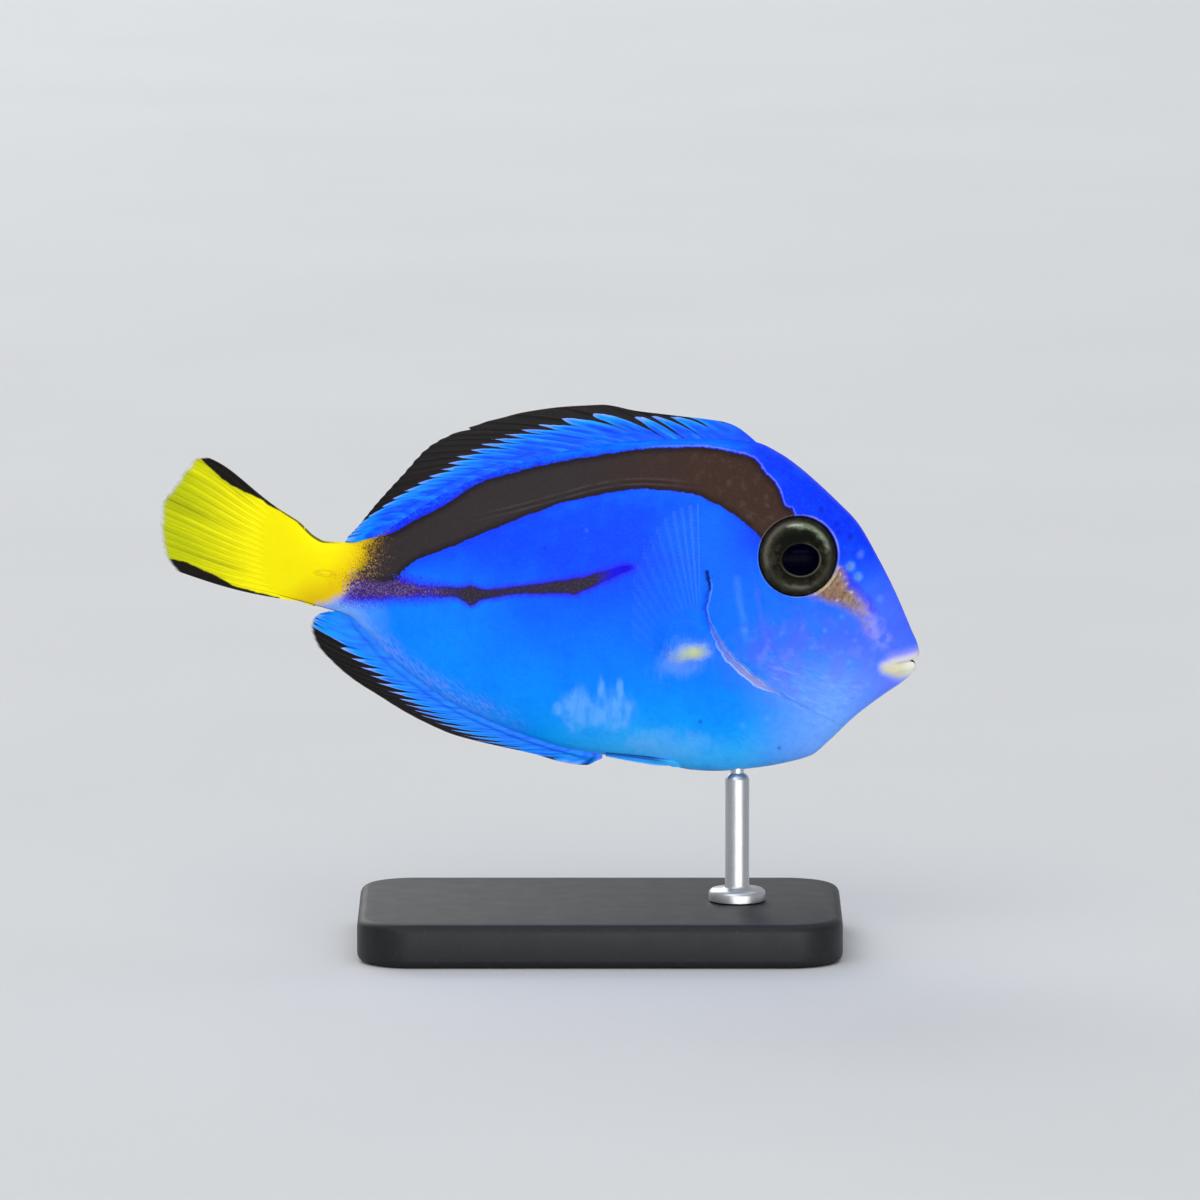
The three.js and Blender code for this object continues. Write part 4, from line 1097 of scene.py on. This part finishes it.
def eye_finish():
    """Olive-grey iris with a raised outer ring and a thin bronze rim round a blue-black pupil, with painted
    highlight arcs, a glint and a sheen on the ring and a painted reflection in the pupil.
    """
    f = Finish("tang_eye", Roughness=0.16, Specular_IOR_Level=0.007)
    across, up = f.read("eye_across"), f.read("eye_up")
    wide, tall = across - 0.1, up + 0.29
    grain = f.noise(0.22, 3) - 0.5
    cloud = f.noise(0.8, 3, shift=3) - 0.5
    edge = (across * across + up * up) ** 0.5 / EYE["rim"] + cloud * 0.1
    pupil = (wide * wide / 2.89 + tall * tall / 2) ** 0.5
    # Painted highlights: arcs and a glint of light on the outer ring, brightest on its upper side, with
    # fainter arcs at the back and bottom.
    lit = (up + across * 0.7 + cloud * 3).ease(1.8, 3.6)
    painted_highlight_arc = abs(edge - 0.77 + grain * 0.06).ease(0.12, 0.0) * lit
    painted_glint = abs(edge - 0.8).ease(0.05, 0.0) * (up - abs(across + 0.4) * 0.8 + cloud).ease(1.9, 2.8)
    painted_back_arc_highlight = abs(edge - 0.85).ease(0.09, 0.0) * (up * 0.8 - across + cloud * 4).ease(1.2, 3.4)
    painted_low_arc_highlight = abs(edge - 0.78).ease(0.08, 0.0) * (0 - up - abs(across) * 0.4 + cloud * 2).ease(1.6, 2.8)
    ring = f.layers(f.mix((cloud * 2 + grain).ease(-0.4, 0.6), (22, 23, 18), (46, 45, 36)), [
        # Painted sheen along the ring's crest, all round.
        (abs(edge - 0.8).ease(0.14, 0.0) * 0.24, (90, 88, 76)),
        (painted_highlight_arc * (0.66 + grain), (140, 154, 132)),
        (painted_glint * 0.7, (186, 190, 180)),
        (painted_back_arc_highlight * 0.34, (124, 118, 106)),
        (painted_low_arc_highlight * 0.5, (112, 110, 96)),
    ])
    gold = (across + cloud * 3).ease(0.4, 1.8).highest((across + 1.9).ease(0.5, 0.0))
    iris = f.mix((cloud * 3 + grain).ease(-0.2, 0.7) * gold, (19, 20, 15), (60, 49, 33))
    iris = f.mix((up + grain).ease(0.4, 1.6) * 0.8, iris, (16, 20, 16))
    rim = abs(pupil - 1.08 + cloud * 0.1).ease(0.09, 0.0)
    low_rim = (wide * 0.6 - tall + cloud * 2).ease(-1.4, 1.6)
    # Painted reflection: a faint bluish glint in the pupil's upper part.
    painted_pupil_reflection = abs(wide).ease(1, 0.5) * abs(tall - 0.72 + cloud * 0.3).ease(0.24, 0.0)
    colour = f.layers(iris, [
        (edge.ease(0.52, 0.74), ring),
        (rim * (0.06 + low_rim * 0.46), (106, 102, 84)),
        (pupil.ease(1.07, 0.98), (0, 0, 12)),
        (painted_pupil_reflection * 0.14, (34, 42, 80)),
        ((edge - cloud * 0.1).ease(0.95, 0.99), (8, 9, 14)),
    ])
    f.feed(Base_Color=colour)
    f.relief(grain * 0.01 + cloud * 0.02)
    return f.material


def acrylic_finish():
    """Satin black acrylic with faint dust and polishing marks."""
    f = Finish("stand_acrylic", Specular_IOR_Level=0.3)
    dust = f.noise(0.5, 4, 0.65)
    swirl = f.noise(2.4, 2, shift=3)
    f.feed(
        Base_Color=f.mix(dust.ease(0.55, 0.75) * 0.35, (20, 21, 24), (54, 56, 60)),
        Roughness=0.4 + swirl * 0.12 + dust * 0.05,
    )
    f.relief(dust * 0.004)
    return f.material


def steel_finish():
    """Brushed steel, with fine lines round the rod."""
    f = Finish("stand_steel", Metallic=1.0)
    lines = f.noise(0.6, 4, 0.7, stretch=(1, 1, 14))
    f.feed(
        Base_Color=f.mix(lines, (172, 174, 178), (212, 213, 215)),
        Roughness=0.24 + lines * 0.2,
    )
    f.relief(lines * 0.01)
    return f.material


# Skin


def skin_relief(x, z, width, marks):
    """How far the skin stands out from the plain body, in millimetres."""
    behind, run = marks["gill"], marks["gill_run"]
    cover = GILL_STEP * ease(36, 29, z) * ease(19, 11, x)
    ends = ease(0, 0.1, run) * ease(1, 0.9, run)
    out = cover * ease(0.26, -0.14, behind) - 0.15 * hump(behind - 0.2, 0.22) * ends
    orbit = marks["orbit"]
    out = out + 0.1 * hump(orbit - 0.22, 0.2) + 0.1 * hump(orbit - 0.98, 0.7)
    out = out - 1.3 * ease(0.04, -0.42, orbit)
    out = out + LOBE_PROUD * ease(1.05, 0.5, oval(x, z, LOBE))
    out = out - 0.07 * hump(marks["cheek_fold"], 0.22) + 0.05 * hump(marks["cheek_fold"] - 0.45, 0.3)
    for nx, nz, size in NOSTRILS:
        ring = np.hypot(x - nx, z - nz)
        out = out + 0.03 * hump(ring - size, 0.2) - 0.09 * ease(size, size * 0.3, ring)
    out = out - 0.03 * ease(1.6, 0.8, marks["blade"])
    up = marks["mouth"]
    lips = 0.06 * hump(up - 0.4, 0.28) + 0.14 * hump(up + 0.55, 0.4) - 0.12 * hump(up, 0.1)
    return out * np.minimum(1, width / 0.4) + ease(26.3, 27.2, x) * lips


def tail_black(x, z):
    """How far a spot lies inside the black band along the tail's upper or lower edge."""
    upper = away(x, z, CAUDAL_UPPER_BLACK)[0]
    lower = -away(x, z, CAUDAL_LOWER_BLACK)[0]
    return np.minimum(1, np.maximum(upper, lower)) - 3 * ease(-29.2, -28.2, x)


def flank_marks(x, z):
    """The distances and shares that the skin's relief and colours follow."""
    marks = {
        "band": away(x, z, BAND, True)[0],
        "arm": away(x, z, ARM, True)[0],
        "tan": away(x, z, TAN_PATCH, True)[0],
        "lips": np.maximum(away(x, z, UPPER_LIP, True)[0], away(x, z, LOWER_LIP, True)[0]),
        "yellow": -away(x, z, YELLOW_EDGE)[0],
        "cheek_fold": away(x, z, CHEEK_FOLD)[0],
        "throat_folds": np.min([abs(away(x, z, fold)[0]) for fold in THROAT_FOLDS], 0),
        "lateral": away(x, z, LATERAL_LINE)[0],
        "violet_line": abs(away(x, z, VIOLET_LINE)[0]),
        "pale_streak": abs(away(x, z, PALE_STREAK)[0]),
    }
    gill, run = away(x, z, GILL_EDGE)
    marks["gill"] = -gill + 0.05 * np.sin(5.1 * z) + 0.03 * np.sin(11.7 * z + 1)
    marks["gill_run"] = run
    marks["band_above"] = ease(-1, 0, marks["lateral"])
    marks["orbit"] = np.hypot(x - EYE["x"], z - EYE["z"]) - EYE["rim"]
    marks["mouth"] = z - mouth(x)
    marks["below_back"] = topline(x) - z
    marks["above_keel"] = z - keel(x)
    marks["blade"] = oval(x, z, BLADE_GROOVE)
    marks["belly_mottle"] = np.max([ease(1.5, 0.2, oval(x, z, cloud)) for cloud in BELLY_CLOUDS], 0)
    marks["cheek_mottle"] = ease(1.1, 0.4, oval(x, z, CHEEK))
    lean_x, lean_z = 0.4 * (z - LOBE_PALE[1]), 0.4 * (x - LOBE_PALE[0])
    marks["lobe"] = 1 - oval(x + lean_x, z - lean_z, LOBE_PALE)
    marks["lobe_yellow"] = 1 - oval(x, z - 0.06 * (x - LOBE_YELLOW[0]), LOBE_YELLOW)
    marks["tail_black"] = tail_black(x, z)
    marks["nostrils"] = np.min([np.hypot(x - nx, z - nz) - size for nx, nz, size in NOSTRILS], 0)
    for name, dots in (("dark_dots", DARK_DOTS), ("pale_dots", PALE_DOTS)):
        marks[name] = np.max([hump(np.hypot(x - dx, z - dz), size) for dx, dz, size in dots], 0)
    return marks


def body_rings(station, segments):
    """The straight body's points, a ring for each station, spread evenly round it from keel to back."""
    half = segments // 2
    x = np.repeat(station[:, None], segments, 1)
    y = np.zeros_like(x)
    z = np.zeros_like(x)
    up = np.sin(np.linspace(-math.pi / 2, math.pi / 2, 900))
    for i, at in enumerate(station):
        mid = widest(at)
        heights = np.where(up > 0, mid + (topline(at) - mid) * up, mid + (mid - keel(at)) * up)
        widths = section_width(up, half_width(at), crest(at))
        steps = np.hypot(np.diff(heights), np.diff(widths))
        length = np.concatenate([[0], np.cumsum(steps)])
        wanted = np.linspace(0, length[-1], half + 1)
        ys, zs = np.interp(wanted, length, widths), np.interp(wanted, length, heights)
        ys[[0, -1]] = 0
        y[i, : half + 1], z[i, : half + 1] = ys, zs
        y[i, half + 1 :], z[i, half + 1 :] = -ys[-2:0:-1], zs[-2:0:-1]
    return x, y, z


def body_normals(points):
    """The direction straight out of the body at each point of its rings."""
    along = np.gradient(points, axis=0)
    round_about = (np.roll(points, -1, 1) - np.roll(points, 1, 1)) / 2
    normal = np.cross(round_about, along)
    normal /= np.maximum(np.linalg.norm(normal, axis=-1, keepdims=True), 1e-9)
    centre = points.mean(1, keepdims=True)
    return -normal if np.sum((points - centre) * normal) < 0 else normal


def make_skin():
    """One closed skin from the snout to the root of the tail fin, shaped from a ball."""
    segments, rings = 250, 398
    crowding = 1.42
    piece, ring, segment = ball("skin", segments, rings)
    share = (np.arange(rings + 1) - 1).clip(0, rings - 2) / (rings - 2)
    x, y, z = body_rings(SNOUT_X - (SNOUT_X - FLESH_END_X) * share**crowding, segments)
    marks = flank_marks(x, z)
    points = place(x, y, z)
    points = points + body_normals(points) * skin_relief(x, z, np.abs(y), marks)[..., None]
    marks["gape"] = np.maximum(0, points[..., 0] - gape(points[..., 2]))
    points[..., 0] -= marks["gape"]
    points[0], points[-1] = points[1].mean(0), points[-2].mean(0)
    shape(piece, points[ring, segment])
    for name, values in marks.items():
        note(piece, name, values[ring, segment])
    turn_faces(piece)
    return finish_piece(piece, skin_finish(), "skin", "head", "torso", "tail_stalk")


def make_tail_blade(side, finish):
    """The folded blade of the tail stalk, a low pointed spine in its groove."""
    count = 24
    piece, ring, segment = ball("tail_blade_" + SIDES[side], count, count)
    t = ring / count
    turn = segment / count * 2 * math.pi
    x = TAIL_BLADE["x"] - TAIL_BLADE["length"] / 2 + TAIL_BLADE["length"] * t
    size = np.sin(math.pi * np.clip(t, 0, 1) ** 0.75) ** 0.8
    y = flank(x, TAIL_BLADE["z"]) - 0.07 + 0.14 * size * np.cos(turn)
    z = TAIL_BLADE["z"] + TAIL_BLADE["height"] / 2 * size * np.sin(turn) - 0.12 * (t - 0.5)
    shape(piece, place(x, side * y, z))
    turn_faces(piece)
    return finish_piece(piece, finish, "skin", "tail_stalk")


def blade_finish():
    """The yellow of the stalk, mottled a little duller and brighter."""
    f = Finish("tang_tail_blade", Roughness=0.4, Specular_IOR_Level=0.2)
    f.feed(Base_Color=f.mix(f.noise(0.3, 3), (224, 200, 0), (244, 226, 0)))
    return f.material


# Fins


def ray_ridge(between, s, split):
    """How much a spot lies on a ray, which forks in two and in four towards the edge."""
    first = 0.11 * ease(split, 1, s)
    second = 0.055 * ease(min(0.95, split + 0.35), 1, s)
    width = lerp(0.15, 0.075, s)
    ridge = np.zeros_like(s)
    for a in (-1, 1):
        for b in (-1, 1):
            ridge = np.maximum(ridge, hump(between - a * first - b * second, width))
    return ridge


def fin_sheet(name, rays, per_ray, rows):
    """A fin's sheet, the shares of its width and length, the ray number and the place between rays."""
    piece, u, s = grid(name, (rays - 1) * per_ray, rows)
    ray = u * (rays - 1)
    return piece, u, s, ray, (ray + 0.5) % 1 - 0.5


def beyond_margin(u, s, outside, length, rows):
    """How far each spot is past the place where its own line out to the edge turns black."""
    order = np.lexsort((s, u))
    margin = np.zeros_like(s)
    for start in range(0, len(order), rows):
        one = order[start : start + rows]
        over = outside[one] > 0
        first = np.argmax(over) if over.any() else rows - 1
        if 0 < first and over.any():
            a, b = outside[one[first - 1]], outside[one[first]]
            turn = lerp(s[one[first - 1]], s[one[first]], a / (a - b))
        else:
            turn = 0.0 if over.any() else 1.02
        margin[one] = (s[one] - turn) * length[one]
    return margin


def make_folded_fin(node, line, body_line, up, form, black, root_colour):
    """A back or belly fin, whose rays lean back from the body's edge and stand closer towards the tail."""
    spines, bow, trail, crowd = (form[key] for key in ("spines", "bow", "trail", "crowd"))
    count = spines + form["rays"]
    rows = 44
    piece, u, s, ray, signed = fin_sheet(node + "_skin", count, 9, rows)
    tip_x, tip_z = column(line, 1), column(line, 2)
    rise = ease(0, 0.05, u) if up > 0 else 1.0
    root_x = lerp(line[0][0], line[-1][0], u * (1 + crowd) - crowd * u * u)
    root_z = body_line(root_x) + up * GAP * rise
    back = s * 1.2 - 0.2
    dent = 0.055 * hump(tip_x(root_x) - form["dent"], 0.3)
    reach = back * (1 - 0.012 * s * np.sin(math.pi * signed) ** 2 - s**4 * dent)
    x = lerp(root_x, tip_x(root_x), reach)
    fade = ease(1, 0.8, u) * (rise if up > 0 else ease(0, 0.3, u))
    arch = bow * np.sin(math.pi * np.clip(reach, 0, 1)) * fade
    z = lerp(root_z, tip_z(root_x), reach) + up * (arch - 0.6 * (1 - ease(0, 0.14, s)) - 0.5 * (1 - rise))
    beside = body_line(x) + up * ((trail + 0.2) * np.clip(reach, 0, 1) ** 2 - 0.2)
    z = lerp(z, beside, ease(0.94, 1, u))
    spine = ease(spines + 0.5, spines - 0.5, ray)
    ridge = lerp(ray_ridge(signed, s, 0.45), hump(signed, 0.16), spine)
    length = np.hypot(tip_x(root_x) - root_x, tip_z(root_x) - root_z)
    skirt = 0.85 * (1 - ease(0, 0.42, back * length / 2.2)) * rise * ease(1, 0.96, u)
    web = lerp(0.2, 0.1, s)
    thick = np.maximum(web + ridge * lerp(0.17, 0.03, s) * lerp(0.8, 1.2, spine), skirt)
    shape(piece, place(x, 0, z))
    note(piece, "margin", beyond_margin(u, s, away(x, z, black)[0] * up, length, rows + 1))
    note(piece, "stroke", np.clip(length * lerp(0.38, 0.2, ease(0.35, 0.65, u)), 0.5, 3.2))
    thicken(piece, thick)
    finish = folded_fin_finish("tang_" + node, count, form, root_colour)
    return finish_piece(piece, finish, "folded_fins", node)


def make_tail_fin(finish):
    """The fan of the tail, whose root lies in the end of the stalk."""
    piece, u, s, _, signed = fin_sheet("tail_fin", TAIL_RAYS, 10, 64)
    tip_x, tip_z = column(CAUDAL_LINE, 1), column(CAUDAL_LINE, 2)
    back = s * 1.16 - 0.16
    reach = back * (1 - 0.004 * s * np.sin(math.pi * signed) ** 2)
    root_x = STALK_END_X - GAP
    root_z = lerp(topline(STALK_END_X) + 0.15, keel(STALK_END_X), u)
    x = lerp(root_x, tip_x(u), reach)
    out = np.clip(back, 0, 1)
    bend = TAIL_RISE * (1 - u) ** 2 * np.sin(math.pi * out**2) - TAIL_SAG * np.sin(math.pi * out)
    z = lerp(root_z, tip_z(u), reach) + bend
    inside = x > STALK_END_X
    z = np.where(inside, np.clip(z, keel(x) + 0.15, topline(x) - 0.15), z)
    ridge = ray_ridge(signed, s, 0.4)
    edge = hump(np.minimum(u, 1 - u), 0.02) * 0.16
    thick = lerp(0.22, 0.09, s) + ridge * lerp(0.26, 0.04, s) + edge * (1 - s)
    shape(piece, place(x, 0, z))
    note(piece, "black", tail_black(x, z))
    thicken(piece, thick)
    return finish_piece(piece, finish, "tail_fin", "caudal_fin")


def make_pectoral(side, finish):
    """A clear side fin, raised and spread away from the flank."""
    piece, u, s, _, signed = fin_sheet("pectoral_" + SIDES[side], PECTORAL_RAYS, 8, 40)
    root_x, root_z, tip_x, tip_z, tip_out = [column(PECTORAL_LINE, k) for k in (1, 2, 3, 4, 5)]
    reach = s * (1 - 0.03 * s * np.sin(math.pi * signed) ** 2)
    out = flank(root_x(u), root_z(u)) - 0.9
    x = lerp(root_x(u), tip_x(u), reach)
    z = lerp(root_z(u), tip_z(u), reach)
    y = lerp(out, out + 0.9 + tip_out(u), reach) + 1.1 * np.sin(math.pi * reach)
    shape(piece, place(x, side * y, z))
    thicken(piece, lerp(0.16, 0.07, s) + ray_ridge(signed, s, 0.4) * lerp(0.14, 0.03, s))
    return finish_piece(piece, finish, "side_fins", "pectoral_fin_" + SIDES[side])


def make_pelvic(side, finish):
    """A narrow fin laid back along the keel."""
    piece, u, s, _, signed = fin_sheet("pelvic_" + SIDES[side], PELVIC_RAYS, 9, 44)
    lower, upper = curve(PELVIC_LOWER), curve(PELVIC_UPPER)
    x = lerp(PELVIC_LOWER[0][0], PELVIC_LOWER[-1][0], s)
    z = lerp(lower(x), upper(x), u)
    y = np.maximum(0.75, flank(x, np.maximum(z, keel(x) + 0.05)) + 0.22)
    y = y - 0.75 * (1 - ease(0, 0.4, s))
    shape(piece, place(x, side * y, z))
    thicken(piece, lerp(0.24, 0.12, s) + hump(signed, 0.2) * lerp(0.2, 0.05, s))
    return finish_piece(piece, finish, "folded_fins", "pelvic_fin_" + SIDES[side])


# Eyes


def make_eye(side, iris):
    """A low dome that sits in its socket."""
    facing = outward(EYE["x"], EYE["z"])
    facing[1] *= -side
    right = np.cross([0, 0, 1], facing)
    right /= np.linalg.norm(right)
    up = np.cross(facing, right)
    seat = np.array([EYE["x"], side * flank(EYE["x"], EYE["z"]), EYE["z"]])

    segments, rings = 128, 96
    piece, ring, segment = ball("eyeball_" + SIDES[side], segments, rings)
    tilt = ring / rings * math.pi
    turn = segment / segments * 2 * math.pi
    r = np.sin(tilt)
    front = 0.78 - 0.98 * r**2 + 0.07 * hump(r - 0.78, 0.13) + 0.05 * ease(0.55, 0.4, r)
    level = np.where(tilt <= math.pi / 2, front, -0.2 - 1.2 * np.cos(math.pi - tilt))
    across = EYE["radius"] * 1.01 * r * np.cos(turn)
    above = EYE["radius"] * 1.01 * r * np.sin(turn)
    points = seat + across[:, None] * right + above[:, None] * up + level[:, None] * facing
    shape(piece, points)
    note(piece, "eye_across", across * np.sign(right[0]))
    note(piece, "eye_up", above)
    turn_faces(piece)
    return finish_piece(piece, iris, "eye", "eye_" + SIDES[side])


# Stand


def make_base(finish):
    """A slab with rounded corners and softened edges, bevelled from a block."""
    low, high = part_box("stand_base")
    middle = (low + high) / 2
    size = high - low
    bpy.ops.object.select_all(action="DESELECT")
    bpy.ops.mesh.primitive_cube_add(size=1, location=middle, scale=size)
    piece = bpy.context.object
    piece.name = "base"
    bpy.ops.object.transform_apply(location=True, rotation=True, scale=True)
    bevel_edges(piece, lambda a, b: abs(a.z - b.z) > size.z / 2, BASE_CORNER * MM, 12)
    bevel_edges(piece, lambda a, b: abs(a.z - b.z) < 1e-6, BASE_SOFT_EDGE * MM, 5)
    return finish_piece(piece, finish, "stand_base", "stand_base")


def make_rod(finish):
    """A turned rod with a foot on the base and a thinner pin that goes into the belly."""
    low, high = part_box("stand_rod")
    middle = (low + high) / 2
    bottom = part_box("stand_base")[1].z
    bpy.ops.object.select_all(action="DESELECT")
    start = (middle.x, middle.y, bottom)
    radius = ROD_START
    bpy.ops.mesh.primitive_circle_add(vertices=48, radius=radius * MM, fill_type="NGON", location=start)
    piece = bpy.context.object
    piece.name = "rod"
    bpy.ops.object.transform_apply(location=True, rotation=True, scale=True)
    bpy.ops.object.mode_set(mode="EDIT")
    bpy.ops.mesh.select_mode(type="FACE")
    bpy.ops.mesh.select_all(action="SELECT")
    level = bottom / MM
    belly = high.z / MM - PIN_LENGTH
    profile = [(r, level + above) for r, above in ROD_FOOT] + [(r, belly + above) for r, above in ROD_TOP]
    for wanted, height in profile:
        bpy.ops.mesh.extrude_region_move(TRANSFORM_OT_translate={"value": (0, 0, (height - level) * MM)})
        k = wanted / radius
        bpy.ops.transform.resize(value=(k, k, 1), center_override=(middle.x, middle.y, height * MM))
        radius, level = wanted, height
    bpy.ops.object.mode_set(mode="OBJECT")
    turn_faces(piece)
    finish_piece(piece, finish, "stand_rod", "stand_rod")
    select_only(piece)
    bpy.ops.object.shade_smooth_by_angle(angle=math.radians(40))
    return piece


# Room


def make_stage():
    """A pale round floor whose rim sweeps up into a wall, so that every view has the same plain ground."""
    bpy.ops.object.select_all(action="DESELECT")
    middle = (0, 0, WALL_HEIGHT / 2)
    bpy.ops.mesh.primitive_cylinder_add(
        vertices=128, radius=FLOOR_RADIUS, depth=WALL_HEIGHT, location=middle,
    )
    floor = bpy.context.object
    floor.name = "floor"
    bpy.ops.object.transform_apply(location=True, rotation=True, scale=True)
    bpy.ops.object.mode_set(mode="EDIT")
    bpy.ops.mesh.select_all(action="DESELECT")
    bpy.ops.object.mode_set(mode="OBJECT")
    for face in floor.data.polygons:
        face.select = face.normal.z > 0.5
    bpy.ops.object.mode_set(mode="EDIT")
    bpy.ops.mesh.delete(type="FACE")
    bpy.ops.object.mode_set(mode="OBJECT")
    bevel_edges(floor, lambda a, b: max(a.z, b.z) < 0.1, WALL_SWEEP, 16)
    turn_faces(floor, inwards=True)
    f = Finish("pale_floor", Roughness=0.85, Specular_IOR_Level=0.1)
    f.feed(Base_Color=f.mix(f.noise(60, 2), (205, 207, 210), (212, 214, 216)))
    floor.data.materials.append(f.material)
    bpy.ops.object.shade_smooth()


def make_light(name, where, size, watts):
    """A flat lamp that is turned towards the fish."""
    lamp = bpy.data.lights.new(name, "AREA")
    lamp.shape = "RECTANGLE"
    lamp.size, lamp.size_y = size
    lamp.energy = watts
    holder = bpy.data.objects.new(name, lamp)
    holder.location = where
    aim = np.array(LIT_SPOT) - np.array(where)
    level = math.hypot(aim[0], aim[1])
    holder.rotation_euler = (math.atan2(level, -aim[2]), 0, math.atan2(-aim[0], aim[1]))
    bpy.context.scene.collection.objects.link(holder)


def make_camera():
    """The photo's view: level with the fish, looking 8 degrees down, 109 mm across."""
    lens = bpy.data.cameras.new("photo_camera")
    lens.sensor_width = SENSOR_WIDTH
    lens.lens = LENS_LENGTH
    lens.clip_start, lens.clip_end = 0.05, 20
    camera = bpy.data.objects.new("photo_camera", lens)
    back, up = CAMERA_DISTANCE * math.cos(CAMERA_TILT), CAMERA_DISTANCE * math.sin(CAMERA_TILT)
    camera.location = (0, -back, CAMERA_AIM_HEIGHT + up)
    camera.rotation_euler = (math.pi / 2 - CAMERA_TILT, 0, 0)
    bpy.context.scene.collection.objects.link(camera)
    bpy.context.scene.camera = camera


def make_room_light():
    """Soft white light from all round."""
    world = bpy.data.worlds.new("soft_room")
    world.use_nodes = True
    world.node_tree.nodes["Background"].inputs["Color"].default_value = (1, 1, 1, 1)
    world.node_tree.nodes["Background"].inputs["Strength"].default_value = ROOM_GLOW
    bpy.context.scene.world = world
    bpy.context.scene.view_settings.view_transform = "Standard"


make_camera()
make_stage()
make_room_light()
for light in LIGHTS:
    make_light(*light)

make_skin()
blade = blade_finish()
make_folded_fin("dorsal_fin", DORSAL_LINE, topline, 1, DORSAL, DORSAL_BLACK, DORSAL_ROOT_BLUE)
make_folded_fin("anal_fin", ANAL_LINE, keel, -1, ANAL, ANAL_BLACK, ANAL_ROOT_BLUE)
pelvic = belly_fin_finish()
make_tail_fin(tail_fin_finish())
clear = side_fin_finish()
iris = eye_finish()
for side in (-1, 1):
    make_tail_blade(side, blade)
    make_pectoral(side, clear)
    make_pelvic(side, pelvic)
    make_eye(side, iris)
make_base(acrylic_finish())
make_rod(steel_finish())
